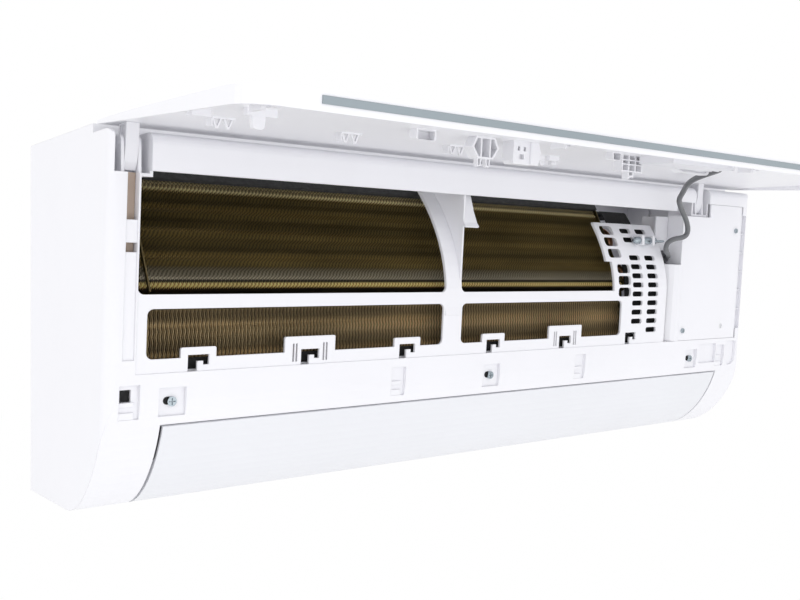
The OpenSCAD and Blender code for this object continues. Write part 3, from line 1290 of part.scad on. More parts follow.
// Route of the display lead: points from where it leaves the display's box, then from the grommet
lead_start = raised_pt([disp_x1 + side_gap, -panel_gap - lead_in, lead_z]);
lead_end = face_pt([gland_x, side_deep + box_t + 2 * over, gland_z]);
lead_near_display = [[0, 0, 0], [9.7, 0, 0], [12.7, 0, 0], [23.7, 4, 0], [38.7, 25, -0.2], [61.7, 57, -1],
  [78.7, 79, -4], [92.7, 95, -11]];
lead_near_gland = [[-44, -60, 60], [-26, -51, 51], [-10, -45, 42], [0, -41, 33], [3, -39, 24],
  [-5, -38, 20.5], [-17, -36, 19.5], [-26, -33, 16.5], [-28, -30, 10.5], [-20, -26, 4], [-9, -21, 1],
  [-2, -16, -0.5], [0, -10, -0.8], [0, -5, -0.4], [0, 0, 0]];
lead_route = concat([for (p = lead_near_display) lead_start + p], [for (p = lead_near_gland) lead_end + p]);
lead_sides = 10;
lead_split = 2;
// Point at share t between b and c of a smooth curve through a, b, c and d
function glide(a, b, c, d, t) = 0.5 * (2 * b + (c - a) * t + (2 * a - 5 * b + 4 * c - d) * t * t
  + (3 * b - a - 3 * c + d) * t * t * t);
function at(p, i) = p[max(0, min(len(p) - 1, i))];
function smooth(p, n) = concat([for (i = [0:len(p) - 2]) for (k = [0:n - 1])
  glide(at(p, i - 1), p[i], p[i + 1], at(p, i + 2), k / n)], [p[len(p) - 1]]);
function way(p, i) = unit_vec(at(p, i + 1) - at(p, i - 1));
// Side vectors carried along the path without twist
function carried(p, i, u) = let (t = way(p, i), v = u - (u * t) * t) unit_vec(v);
function sides_along(p, i, u, out) = i >= len(p) ? out : let (v = carried(p, i, u)) sides_along(p,
  i + 1, v, concat(out, [v]));
module cord(route, r, n, split) {
  p = smooth(route, split);
  u = sides_along(p, 0, [0, 0, 1], []);
  rings = [for (i = [0:len(p) - 1]) let (t = way(p, i), w = cross(t, u[i])) for (k = [0:n - 1])
    p[i] + r * (cos(360 * k / n) * u[i] + sin(360 * k / n) * w)];
  m = len(p);
  polyhedron(rings, concat([[for (k = [0:n - 1]) k]], [[for (k = [0:n - 1]) m * n - 1 - k]],
    [for (i = [0:m - 2], k = [0:n - 1]) [i * n + k, (i + 1) * n + k, (i + 1) * n + (k + 1) % n,
      i * n + (k + 1) % n]]));
}
module display_lead() color("gray") cord(lead_route, lead_r, lead_sides, lead_split);

// Louver: skin along the belly from its upper edge to its lower edge, and its arms and pins
louver_a1 = 85;
louver_steps = 14;
louver_end = 2.5;
louver_path = [for (i = [0:louver_steps]) belly(louver_a0 + (louver_a1 - louver_a0) * i / louver_steps)];
louver_x = outlet_x - louver_end;
arm_t = 3;
louver_rib_steps = [5, 8, 10];
louver_rib_h = 3;
pin_out = 8;
module louver_skin() color("white") along_x(-louver_x, louver_x) polygon(ribbon(louver_path, -louver_t));
module louver_arms() color("white") union() {
  inner = beside(louver_path, -louver_t - seat_gap);
  for (s = [-1, 1]) translate([s * (louver_x - arm_t / 2), 0, 0]) along_x(-arm_t / 2, arm_t / 2) union() {
    polygon(concat([for (i = [4:louver_steps - 3]) inner[i]], [[pivot_y + 2 * louver_pin_r, pivot_z],
      [pivot_y, pivot_z + 2 * louver_pin_r], [pivot_y - 2 * louver_pin_r, pivot_z + louver_pin_r]]));
    translate([pivot_y, pivot_z]) circle(r = 2 * louver_pin_r, $fn = 32);
  }
  // Stiffening ribs along the skin
  for (i = louver_rib_steps) along_x(arm_t / 2 - louver_x, louver_x - arm_t / 2)
    let (p = inner[i], q = inner[i + 1], n = louver_rib_h * right_of(unit_vec(q - p))) polygon([p, q,
      q - n, p - n]);
  rod_x(louver_pin_r, -outlet_x - shell_t - over, over - louver_x, pivot_y, pivot_z);
  rod_x(louver_pin_r, louver_x - over, outlet_x + shell_t + pin_out, pivot_y, pivot_z);
}
motor_can_r = 12;
motor_can_l = 16;
module louver_motor() color("gainsboro") difference() {
  rod_x(motor_can_r, outlet_x + shell_t, outlet_x + shell_t + motor_can_l, pivot_y, pivot_z);
  rod_x(louver_pin_r + run_gap, outlet_x, outlet_x + shell_t + pin_out + over, pivot_y, pivot_z);
}

// Upright vanes that hang in the duct, the link that joins them and the crank that drives it
function vane_x(k) = vane_x0 + k * vane_pitch;
module vane_pin() translate([0, vane_u, over - boss_h]) cylinder(r = vane_pin_r, h = boss_h + vane_gap,
  $fn = 24);
module vane(k) color("white") on_duct(vane_x(k)) union() {
  vane_pin();
  translate([-vane_t / 2, vane_u - vane_front, vane_gap]) cube([vane_t, vane_l, vane_h]);
  translate([-vane_t, vane_u - vane_t, vane_gap]) cube([2 * vane_t, 2 * vane_t, vane_h / 2]);
  translate([0, vane_u + rod_arm, vane_gap + vane_h - over]) cylinder(r = link_pin_r, h = link_pin_h,
    $fn = 24);
}
module vane_1() vane(0);
module vane_2() vane(1);
module vane_3() vane(2);
module vane_4() vane(3);
module vane_5() vane(4);
module vane_6() vane(5);
module vane_7() vane(6);
module vane_8() vane(7);
link_v = vane_gap + vane_h + drop_gap;
crank_in = 5;
crank_t = 3;
module vane_rod() color("white") difference() {
  on_duct(0) block([vane_x(0) - link_w, vane_u + rod_arm - link_w / 2, link_v],
    [crank_x + link_w, vane_u + rod_arm + link_w / 2, link_v + link_t]);
  for (k = [0:vane_count]) on_duct(vane_x(k)) translate([0, vane_u + rod_arm, 0])
    cylinder(r = link_pin_r + side_gap, h = 2 * vane_h, $fn = 24);
}
module vane_crank() color("white") on_duct(crank_x) union() {
  translate([0, vane_u, -boss_h - crank_in]) cylinder(r = vane_pin_r,
    h = link_v + boss_h + crank_in - drop_gap, $fn = 24);
  translate([0, 0, link_v - crank_t - drop_gap]) linear_extrude(crank_t) union() {
    translate([-link_w / 2, vane_u]) square([link_w, rod_arm]);
    for (v = [vane_u, vane_u + rod_arm]) translate([0, v]) circle(r = link_w / 2, $fn = 32);
  }
  translate([0, vane_u + rod_arm, link_v - over - drop_gap]) cylinder(r = link_pin_r,
    h = link_pin_h - over, $fn = 24);
}
vane_can_r = 8;
vane_can_l = 14;
module vane_motor() color("gainsboro") on_duct(crank_x) difference() {
  translate([0, vane_u, -boss_h - side_gap - vane_can_l]) cylinder(r = vane_can_r, h = vane_can_l, $fn = 32);
  translate([0, vane_u, -boss_h - crank_in - over]) cylinder(r = vane_pin_r + run_gap,
    h = crank_in + 2 * over, $fn = 24);
}

wall_plate();
rear_casing();
front_frame();
outlet_duct();
drain_pan();
drain_hose();
drain_plug();
coil_fins_lower();
coil_fins_upper();
coil_fins_rear();
coil_tubes();
coil_end_left();
coil_end_right();
coil_seal();
gas_pipe();
liquid_pipe();
flare_nuts();
pipe_clamp();
fan_bearing();
motor_bracket();
fan_motor();
electric_box();
electric_cover();
control_board();
board_parts();
terminal_block();
room_sensor();
sensor_clip();
display_lead();
louver_motor();
vane_motor();
frame_screws();
cover_screws();
cable_gland();
auto_button();
panel_shell();
panel_strip();
hinge_arm_left();
hinge_arm_right();
panel_clips();
display_box();
display_board();
lead_clip();
louver_skin();
louver_arms();
fan_wheel();
fan_shaft();
vane_1();
vane_2();
vane_3();
vane_4();
vane_5();
vane_6();
vane_7();
vane_8();
vane_rod();
vane_crank();
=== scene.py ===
"""Looks of the wall-mounted indoor unit: its panel raised, seen from its front left."""
import json
import math
import random
from collections import namedtuple

import bmesh
import bpy
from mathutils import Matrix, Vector


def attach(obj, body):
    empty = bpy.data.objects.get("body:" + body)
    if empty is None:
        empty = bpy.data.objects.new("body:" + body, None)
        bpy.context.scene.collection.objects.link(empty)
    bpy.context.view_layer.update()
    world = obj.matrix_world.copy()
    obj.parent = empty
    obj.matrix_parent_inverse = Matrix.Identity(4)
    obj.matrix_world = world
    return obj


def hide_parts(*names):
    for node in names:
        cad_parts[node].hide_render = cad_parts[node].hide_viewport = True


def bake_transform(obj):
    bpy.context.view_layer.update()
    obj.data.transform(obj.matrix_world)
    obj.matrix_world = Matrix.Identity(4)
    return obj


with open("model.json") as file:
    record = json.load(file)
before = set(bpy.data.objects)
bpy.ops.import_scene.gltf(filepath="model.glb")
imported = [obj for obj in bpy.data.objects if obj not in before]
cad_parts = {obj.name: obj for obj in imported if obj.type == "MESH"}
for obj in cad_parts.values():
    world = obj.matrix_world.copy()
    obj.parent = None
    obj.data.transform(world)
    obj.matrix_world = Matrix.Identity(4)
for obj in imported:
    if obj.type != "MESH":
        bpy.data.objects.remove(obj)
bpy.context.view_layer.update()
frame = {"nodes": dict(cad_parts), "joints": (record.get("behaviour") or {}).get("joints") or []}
MM = 0.001

# Camera, level, as the photograph's
CAMERA_AT = (-0.6633, -0.8516, 0.031)
CAMERA_YAW = math.radians(38)
CAMERA_LENS = 42.47
CAMERA_SHIFT_Y = -0.0219

# Route of the display lead, in metres: from the display's box, then up to the grommet
LEAD_START = Vector((0.1123, -0.331547, 0.139218))
LEAD_END = Vector((0.2665, -0.158788, 0.061855))
LEAD_NEAR_DISPLAY = [(0, 0, 0), (0.0097, 0, 0), (0.0127, 0, 0), (0.0237, 0.004, 0), (0.0387, 0.025, -0.0002),
                     (0.0617, 0.057, -0.001), (0.0787, 0.079, -0.004), (0.0927, 0.095, -0.011)]
LEAD_NEAR_GLAND = [(-0.044, -0.060, 0.060), (-0.026, -0.051, 0.051), (-0.010, -0.045, 0.042),
                   (0, -0.041, 0.033), (0.003, -0.039, 0.024), (-0.005, -0.038, 0.0205),
                   (-0.017, -0.036, 0.0195), (-0.026, -0.033, 0.0165), (-0.028, -0.030, 0.0105),
                   (-0.020, -0.026, 0.004), (-0.009, -0.021, 0.001), (-0.002, -0.016, -0.0005),
                   (0, -0.010, -0.0008), (0, -0.005, -0.0004), (0, 0, 0)]
LEAD_R = 0.0029
LEAD_SIDES = 16
# How the route becomes a smooth tube: points drawn between two of its own, rounds of smoothing, the step
# between points, and how many points near each end are held
LEAD_SPLIT = 4
LEAD_EASE = 12
LEAD_STEP = 0.0025
LEAD_HELD = 8


def add_object(name, data):
    """Object with its data, in the scene."""
    made = bpy.data.objects.new(name, data)
    bpy.context.scene.collection.objects.link(made)
    return made


def make_camera():
    """Level camera with the photograph's view."""
    data = bpy.data.cameras.new("camera")
    data.lens = CAMERA_LENS
    data.shift_y = CAMERA_SHIFT_Y
    camera = add_object("camera", data)
    camera.location = CAMERA_AT
    camera.rotation_euler = (math.pi / 2, 0, -CAMERA_YAW)
    bpy.context.scene.camera = camera


def new_piece(name, verts, faces, smooth=False):
    """Piece from its vertices and faces."""
    mesh = bpy.data.meshes.new(name)
    mesh.from_pydata([tuple(v) for v in verts], [], faces)
    mesh.validate()
    if smooth:
        mesh.shade_smooth()
    return add_object(name, mesh)


def glide(a, b, c, d, t):
    """Point at share t between b and c of a smooth curve through a, b, c and d."""
    first, second, third = c - a, 2 * a - 5 * b + 4 * c - d, 3 * b - a - 3 * c + d
    return 0.5 * (2 * b + first * t + second * t ** 2 + third * t ** 3)


def even_path(path, step):
    """The same route with its points a step apart."""
    at = [0.0]
    for a, b in zip(path, path[1:]):
        at.append(at[-1] + (b - a).length)
    count = round(at[-1] / step)
    even, k = [], 0
    for i in range(count):
        reach = at[-1] * i / count
        while at[k + 1] < reach:
            k += 1
        even.append(path[k].lerp(path[k + 1], (reach - at[k]) / (at[k + 1] - at[k])))
    return even + [path[-1]]


def ease_in(steps):
    """Share of smoothing at a number of points from an end, so that the ends keep their direction."""
    t = min(1, max(0, (steps - 1) / LEAD_HELD))
    return t * t * (3 - 2 * t)


def smooth_path(points, split, rounds):
    """Even points along a smooth curve through the given ones, eased away from its ends."""
    last = len(points) - 1
    path = [glide(points[max(i - 1, 0)], points[i], points[i + 1], points[min(i + 2, last)], k / split)
            for i in range(last) for k in range(split)] + [points[last]]
    path = even_path(path, LEAD_STEP)
    last = len(path) - 1
    for _ in range(rounds):
        mean = [(a + 2 * b + c) / 4 for a, b, c in zip(path, path[1:], path[2:])]
        path[1:last] = [path[i].lerp(mean[i - 1], ease_in(min(i, last - i))) for i in range(1, last)]
    return path


def tube_rings(path, radius, sides):
    """Rings round a path, carried along it without twist, as vertices and faces."""
    verts, faces = [], []
    side = Vector((0, 0, 1))
    for i, point in enumerate(path):
        way = (path[min(i + 1, len(path) - 1)] - path[max(i - 1, 0)]).normalized()
        side = (side - way * side.dot(way)).normalized()
        other = way.cross(side)
        for k in range(sides):
            turn = 2 * math.pi * k / sides
            verts.append(point + radius * (math.cos(turn) * side + math.sin(turn) * other))
    for i in range(len(path) - 1):
        for k in range(sides):
            a, b = i * sides + k, i * sides + (k + 1) % sides
            faces.append((a, b, b + sides, a + sides))
    faces.append(tuple(range(sides - 1, -1, -1)))
    faces.append(tuple(range(len(verts) - sides, len(verts))))
    return verts, faces


def make_lead():
    """Grey lead from the display's box to the grommet."""
    points = [LEAD_START + Vector(p) for p in LEAD_NEAR_DISPLAY]
    points += [LEAD_END + Vector(p) for p in LEAD_NEAR_GLAND]
    path = smooth_path(points, LEAD_SPLIT, LEAD_EASE)
    lead = new_piece("display_cord", *tube_rings(path, LEAD_R, LEAD_SIDES), smooth=True)
    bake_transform(lead)
    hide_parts("display_lead")
    return lead


# Place of the panel's hinge, in metres
PANEL_HINGE = next(joint for joint in frame["joints"] if joint["name"] == "panel_hinge")
HINGE_Y, HINGE_Z = PANEL_HINGE["pos_m"][1:]
# Panel's ribs and clips, drawn on the closed panel: across, depth behind the face and height, in mm
FACE_D = 180
FACE_LEAN = math.radians(4.5)
# Heights on the closed panel's inner skin, with its depth there
SKIN = [(-79, -10.1), (-33.4, -8.7), (12.2, -7.2), (57.8, -5.6), (103.4, -3.7), (149, -0.6)]
# How far ribs and clips sink into the skin, and how much larger a floor is than the opening it fills
CLIP_SINK = 0.3
SWELL = 1.03
# Heights of the row of latches, of the block at the left and of the two rows of clips
LATCH_ROW, BLOCK_ROW, UPPER_ROW, LOWER_ROW = -68, 32, 60, 0
# Middles of the latches. Hanging bars have sides, a lowest depth, and ends counted from their row
LATCH_X = (-390, -136.53, 109.06, 367)
LATCH_BARS = ((-4.8, -1.6, 1.4, 0, 14), (1.6, 8, -0.9, 0, 7), (-1.6, 1.6, -3.5, 0, 7))
LEFT_BLOCK = ((-392, -378, -1.9, -4, 4),)
LEFT_TAB_FOOT = ((-368, -346, -2.6, -3, 3),)
SMALL_BRACKETS = ((-38, -31, -0.9, -4, 0), (-29, -16, -1.6, -8, -4), (-20, -13, 1.4, -2, 2))
LAST_BRACKET = ((-43, -39, -3, 0, 4),)
# Middle and radius of the boss between the small brackets, and how far it stands up from their row
BOSS_X, BOSS_D, BOSS_R, BOSS_H = -30, -0.6, 3.6, 6
# T-shaped tab: middle, heights, and half of its outline as across from the middle and depth
LEFT_TAB_X, LEFT_TAB_SPAN = -359, (-2, 2)
LEFT_TAB_HALF = [(5, -2.6), (4.2, 4.8), (2, 6)]
# Spring clips: middles, how far each fold of the W lies from the middle, and the folds' height
SPRING_CLIP_X = (-354, -245, -136)
FOLD_X, FOLD_H = 4.5, 2
# Their holder's half width, thickness and ends counted from the row, and the bar that hangs at its end
HOLDER_X, HOLDER_T, HOLDER_SPAN = 9, 1.2, (-4, 6)
END_BAR = ((-8.8, -7.8, 0.6, -1.8, 5.8),)
# Middle, width, lowest point and height up the panel of each cup-shaped tab
CUP_TABS = ((-221, 19, 0.4, 0), (-14, 11, -1.4, -8))
# Their rounding, inner share, and ends; their floor's distance from the sides, from the lowest point and up
CUP_R, CUP_SHARE, CUP_SPAN = 2, 0.82, (-5, 3)
CUP_FLOOR_IN, CUP_FLOOR_UP, CUP_FLOOR_Z = 1.2, 1.5, 1.6
# Six-sided bracket: middle, wall thickness, ends of its wall and floor, and its ribs' place and ends
SIX_SIDED_X, SIX_SIDED_WALL = -161, 1.4
SIX_SIDED_SPAN, SIX_SIDED_FLOOR = (-5, 5), (3.6, 4.8)
SIX_SIDED_RIB_X, SIX_SIDED_RIB_SPAN = 4.6, (-5, 3.6)
# Its prongs, as across from the middle and depth, outside and inside
PRONG_OUTER = [(7, 8.4), (2, 8.4), (3, 14.6), (6.4, 15.4)]
PRONG_INNER = [(5.9, 9.2), (3.1, 9.2), (3.9, 13.8), (5.5, 14.4)]
PRONG_SPAN = (-3, 1)
# Pierced block: sides, lowest depth, width of its sloped side, and ends of its front, body and sloped side
PIERCED_X, PIERCED_LOW, PIERCED_SLOPE_W = (-133, -107), 10.5, 8
PIERCED_FRONT, PIERCED_BODY, PIERCED_SLOPE = (-7, -4), (-4, 6), (-9, -4)
PIERCED_BEVEL = 3
# Bars of the pierced front: shares of its width and of its depth that each takes
PIERCED_SHARES = ((0, 1, 0, 0.24), (0, 0.25, 0.24, 0.42), (0.4, 0.62, 0.24, 0.42), (0.77, 1, 0.24, 0.42),
                  (0, 1, 0.42, 0.56), (0, 0.35, 0.56, 0.78), (0.65, 1, 0.56, 0.78), (0, 1, 0.78, 1))
# Grid: its upright slats, its cross bars, and its legs with the bar between them
GRID_X, SLATS, SLAT_PITCH, SLAT_W, SLAT_LOW, SLAT_SPAN = 4, 4, 9, 1.4, 6.5, (-4, 5)
CROSS_D, CROSS_T, CROSS_X, CROSS_SPAN = (-4.4, -0.6, 5.3), 1, (4.2, 32.2), (-3.8, 4.8)
GRID_LEGS = ((14.4, 15.6, 6.1, 13, -3, 4), (20.6, 21.8, 6.1, 11.5, -3, 4), (14.6, 21.6, 9.4, 10.6, -2.8, 3.8))
# Large bracket: the point that its inner outline shrinks to, its shares, and ends of its wall and floor
LARGE_X, LARGE_D, LARGE_SHARES = 108, -3.2, (0.9, 0.66)
LARGE_SPAN, LARGE_FLOOR = (-4, 4), (-2.6, 3.8)


def face_point(x, depth, z):
    """Place in metres of a point given on the leaning face."""
    y = -FACE_D + depth * math.cos(FACE_LEAN) - z * math.sin(FACE_LEAN)
    return (x * MM, y * MM, (depth * math.sin(FACE_LEAN) + z * math.cos(FACE_LEAN)) * MM)


def raised_point(x, depth, z):
    """The same for a point of the closed panel, once the panel is raised."""
    x, y, z = face_point(x, depth, z)
    return (x, HINGE_Y - HINGE_Z + z, HINGE_Z + HINGE_Y - y)


def skin_depth(z):
    """Depth of the closed panel's inner skin at a height."""
    for (z0, d0), (z1, d1) in zip(SKIN, SKIN[1:]):
        if z <= z1:
            return d0 + (d1 - d0) * (z - z0) / (z1 - z0)
    return SKIN[-1][1]


def rib_top(z):
    """Depth a little inside the skin, where the ribs and clips at a height start."""
    return skin_depth(z) - CLIP_SINK


def plate(solids, outline, z0, z1, inner=None):
    """Upright plate from z0 to z1 with an outline of (across, depth), open inside an inner outline."""
    verts = [(x, d, z) for z in (z0, z1) for x, d in outline + (inner or [])]
    n, m = len(outline), len(inner or [])
    faces = [(k, (k + 1) % n, n + m + (k + 1) % n, n + m + k) for k in range(n)]
    if inner:
        faces += [(n + k, 2 * n + m + k, 2 * n + m + (k + 1) % m, n + (k + 1) % m) for k in range(m)]
        for base in (0, n + m):
            faces += [(base + k, base + (k + 1) % n, base + n + (k + 1) % n, base + n + k) for k in range(n)]
    else:
        faces += [tuple(range(n)), tuple(range(n, 2 * n))]
    solids.append((verts, faces))


def bar(solids, x0, x1, d0, d1, z0, z1):
    """Plain bar between two sides, two depths and two heights."""
    plate(solids, [(x0, d0), (x1, d0), (x1, d1), (x0, d1)], z0, z1)


def hang_bars(solids, row, bars, x=0):
    """Bars from the skin down, at a row's height."""
    for x0, x1, low, z0, z1 in bars:
        bar(solids, x + x0, x + x1, rib_top(row), low, row + z0, row + z1)


def mirrored(x, half):
    """Outline alike on both sides of x, from the points of its right half, as (across, depth)."""
    left, right = [[(x + side * a, d) for a, d in half] for side in (-1, 1)]
    return left[:1] + right + left[:0:-1]


def finish_solids(name, solids, place):
    """One piece of all the solids, each point put where place says."""
    mesh = bpy.data.meshes.new(name)
    work = bmesh.new()
    for verts, faces in solids:
        made = [work.verts.new(place(*v)) for v in verts]
        for face in faces:
            work.faces.new([made[i] for i in face])
    bmesh.ops.recalc_face_normals(work, faces=work.faces)
    work.to_mesh(mesh)
    work.free()
    return add_object(name, mesh)


def shrink(outline, x, d, across, deep):
    """Outline scaled about a point, across and in depth."""
    return [(x + (a - x) * across, d + (b - d) * deep) for a, b in outline]


def swell(outline, x, d):
    """Outline a little larger, so that a plate with it sinks into the walls round it."""
    return shrink(outline, x, d, SWELL, SWELL)


def arc(x, d, r, start, end, steps=8):
    """Points round a middle, from one angle to another in degrees."""
    turns = [math.radians(start + (end - start) * k / steps) for k in range(steps + 1)]
    return [(x + r * math.cos(t), d + r * math.sin(t)) for t in turns]


def add_latches(solids):
    """Latches at the free edge."""
    for x in LATCH_X:
        hang_bars(solids, LATCH_ROW, LATCH_BARS, x)


def add_left_tabs(solids):
    """Low block and T-shaped tab near the left end."""
    hang_bars(solids, BLOCK_ROW, LEFT_BLOCK)
    hang_bars(solids, LOWER_ROW, LEFT_TAB_FOOT)
    plate(solids, mirrored(LEFT_TAB_X, LEFT_TAB_HALF), *LEFT_TAB_SPAN)


def add_spring_clips(solids):
    """Spring clips, each folded as a W, with a holder and an end bar."""
    row, top = UPPER_ROW, rib_top(UPPER_ROW)
    outer, inner = [(4.4, top), (1, 2)], [(2.6, top + 0.6), (0.4, 0.4)]
    z0, z1 = [row + z for z in HOLDER_SPAN]
    for x in SPRING_CLIP_X:
        for fold in (x - FOLD_X, x + FOLD_X):
            plate(solids, mirrored(fold, outer), row - FOLD_H, row, mirrored(fold, inner))
        bar(solids, x - HOLDER_X, x + HOLDER_X, top, top + HOLDER_T, z0, z1)
        hang_bars(solids, row, END_BAR, x)


def add_cup_tabs(solids):
    """Cup-shaped tabs, each with a floor."""
    for x, w, low, z in CUP_TABS:
        top, side, deep = rib_top(z), w / 2 - CUP_R, low - CUP_R
        z0, z1 = [z + end for end in CUP_SPAN]
        outer = [(x - w / 2, top), (x + w / 2, top), (x + w / 2, deep)]
        outer += arc(x + side, deep, CUP_R, 0, 90, 3)[1:] + arc(x - side, deep, CUP_R, 90, 180, 3)
        middle = sum(p[1] for p in outer) / len(outer)
        plate(solids, outer, z0, z1, shrink(outer, x, middle, CUP_SHARE, CUP_SHARE))
        side = w / 2 - CUP_FLOOR_IN
        bar(solids, x - side, x + side, top, low - CUP_FLOOR_UP, z + CUP_FLOOR_Z, z1)


def add_six_sided(solids):
    """Six-sided bracket with a floor, two ribs and two prongs."""
    x, top, wall = SIX_SIDED_X, rib_top(LOWER_ROW), SIX_SIDED_WALL
    outer = mirrored(x, [(10, top), (14, 0.5), (8, 9)])
    inner = mirrored(x, [(8.6, top + wall), (12.2, 0.4), (7, 9 - wall)])
    plate(solids, outer, *SIX_SIDED_SPAN, inner)
    plate(solids, swell(inner, x, 0), *SIX_SIDED_FLOOR)
    for rib in (x - SIX_SIDED_RIB_X, x + SIX_SIDED_RIB_X):
        plate(solids, mirrored(rib, [(wall / 2, top + wall), (wall / 2, 9 - wall)]), *SIX_SIDED_RIB_SPAN)
    for side in (-1, 1):
        outer, inner = [[(x + side * a, d) for a, d in line] for line in (PRONG_OUTER, PRONG_INNER)]
        plate(solids, outer, *PRONG_SPAN, inner)


def add_pierced_block(solids):
    """Block with three openings in its front and a sloped right side."""
    (x0, x1), low, top = PIERCED_X, PIERCED_LOW, rib_top(LOWER_ROW)
    slope = x1 - PIERCED_SLOPE_W
    w, deep = slope - x0, low - top
    for a, b, d0, d1 in PIERCED_SHARES:
        bar(solids, x0 + a * w, x0 + b * w, top + d0 * deep, top + d1 * deep, *PIERCED_FRONT)
    right = [(x1, top), (x1 + PIERCED_BEVEL, 0), (x1, low)]
    left = [(x0 + PIERCED_BEVEL, low), (x0, low - PIERCED_BEVEL)]
    plate(solids, [(x0, top)] + right + left, *PIERCED_BODY)
    plate(solids, [(slope, top)] + right + [(slope, low)], *PIERCED_SLOPE)


def add_small_brackets(solids):
    """Small brackets round a boss, at the right of the upper row."""
    row, top = UPPER_ROW, rib_top(UPPER_ROW)
    hang_bars(solids, row, SMALL_BRACKETS)
    foot = [(BOSS_X - BOSS_R, top), (BOSS_X + BOSS_R, top)]
    plate(solids, arc(BOSS_X, BOSS_D, BOSS_R, 0, 180) + foot, row, row + BOSS_H)
    hang_bars(solids, row, LAST_BRACKET)


def add_grid(solids):
    """Open grid of slats with two legs."""
    for k in range(SLATS):
        x = GRID_X + SLAT_PITCH * k
        bar(solids, x, x + SLAT_W, rib_top(LOWER_ROW), SLAT_LOW, *SLAT_SPAN)
    for d in CROSS_D:
        bar(solids, *CROSS_X, d, d + CROSS_T, *CROSS_SPAN)
    for leg in GRID_LEGS:
        bar(solids, *leg)


def add_large_bracket(solids):
    """Large bracket with a round end and a floor, beside the display."""
    top = rib_top(LOWER_ROW)
    outer = [(76, top), (136, top), (136, -4)] + arc(130, -3.4, 5, 20, 90, 5) + [(90, 1.6), (84, -1)]
    inner = shrink(outer, LARGE_X, LARGE_D, *LARGE_SHARES)
    plate(solids, outer, *LARGE_SPAN, inner)
    plate(solids, swell(inner, LARGE_X, LARGE_D), *LARGE_FLOOR)


def make_clips():
    """The ribs and clips under the panel, as one piece."""
    solids = []
    for add in (add_latches, add_left_tabs, add_spring_clips, add_cup_tabs, add_six_sided, add_pierced_block,
                add_small_brackets, add_grid, add_large_bracket):
        add(solids)
    clips = finish_solids("clips", solids, raised_point)
    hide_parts("panel_clips")
    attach(clips, "panel")
    return clips


# Pieces of painted shade behind the face, in mm. Above a height the grid's front bends back, by so much over
# the given rise
TRACK_BEND_Z, TRACK_RISE, TRACK_BACK = 14, 109, 51
SHADE_SHEET_BACK = 10.5
SHADE_SHEET_T = 1.2
# Sides, lowest and highest point and steps of the black sheet of painted shade behind each part of the guard
GUARD_SHADE_SHEETS = ((190, 249, -27, 97, 12), (188, 232, 97.2, 113, 4))
# Black sheet of painted shade behind the hooks: sides, lowest and highest point, height at which its depth is
# taken, and that depth and its thickness
HOOK_SHADE_X, HOOK_SHADE_SPAN = (-380, 249), (-42, -27.5)
HOOK_Z, HOOK_SHADE_BACK, HOOK_SHADE_T = -32, 8, 1
# Boxes of painted shade on the leaning face, the channel's warm-toned one and the latch hole's dark one:
# sides, depths, lowest and highest point
CHANNEL_SHADE_BOX = (-396.2, -387.8, 7.3, 7.8, -24, 112)
LATCH_HOLE_SHADE = (-397, -388.4, 5.9, 6.3, -60, -49)
# Dark pads of painted shade in the holes beside the screws: middles, radius, how far the flat side lies, and
# depths
SCREW_SHADE_X = (-359.1, -24.1, 303.8)
SCREW_SHADE_Z, SCREW_SHADE_R, SCREW_SHADE_FLAT = -60, 3.1, 2.4
SCREW_SHADE_D = (3.15, 3.45)


def track_depth(z):
    """Depth in mm of the curved grid's front surface, in the unit's frame."""
    return -FACE_D - math.tan(FACE_LEAN) * z + TRACK_BACK * max(0, (z - TRACK_BEND_Z) / TRACK_RISE) ** 2


def block(solids, x0, x1, y0, y1, z0, z1):
    """Box, given to finish_solids with the place it is drawn in."""
    verts = [(x, y, z) for z in (z0, z1) for x, y in ((x0, y0), (x1, y0), (x1, y1), (x0, y1))]
    faces = [(0, 1, 2, 3), (4, 5, 6, 7)] + [(k, (k + 1) % 4, (k + 1) % 4 + 4, k + 4) for k in range(4)]
    solids.append((verts, faces))


def in_metres(x, y, z):
    """Place in metres of a point given in mm."""
    return (x * MM, y * MM, z * MM)


def make_shade_sheets():
    """Black sheets of painted shade, with a foam look, behind the slotted guard and behind the hooks under
    the windows.
    """
    solids = []
    back, rear = SHADE_SHEET_BACK, SHADE_SHEET_BACK + SHADE_SHEET_T
    for x0, x1, z0, z1, steps in GUARD_SHADE_SHEETS:
        rows = [z0 + (z1 - z0) * k / steps for k in range(steps + 1)]
        verts = [(x, track_depth(z) + d, z) for z in rows
                 for x, d in ((x0, back), (x1, back), (x1, rear), (x0, rear))]
        faces = [(0, 1, 2, 3), tuple(range(4 * steps, 4 * steps + 4))]
        for low in range(0, 4 * steps, 4):
            faces += [(low + n, low + (n + 1) % 4, low + 4 + (n + 1) % 4, low + 4 + n) for n in range(4)]
        solids.append((verts, faces))
    hooks = track_depth(HOOK_Z) + HOOK_SHADE_BACK
    block(solids, *HOOK_SHADE_X, hooks, hooks + HOOK_SHADE_T, *HOOK_SHADE_SPAN)
    shade_sheet = finish_solids("guard_painted_shade", solids, in_metres)
    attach(shade_sheet, "unit")
    return shade_sheet


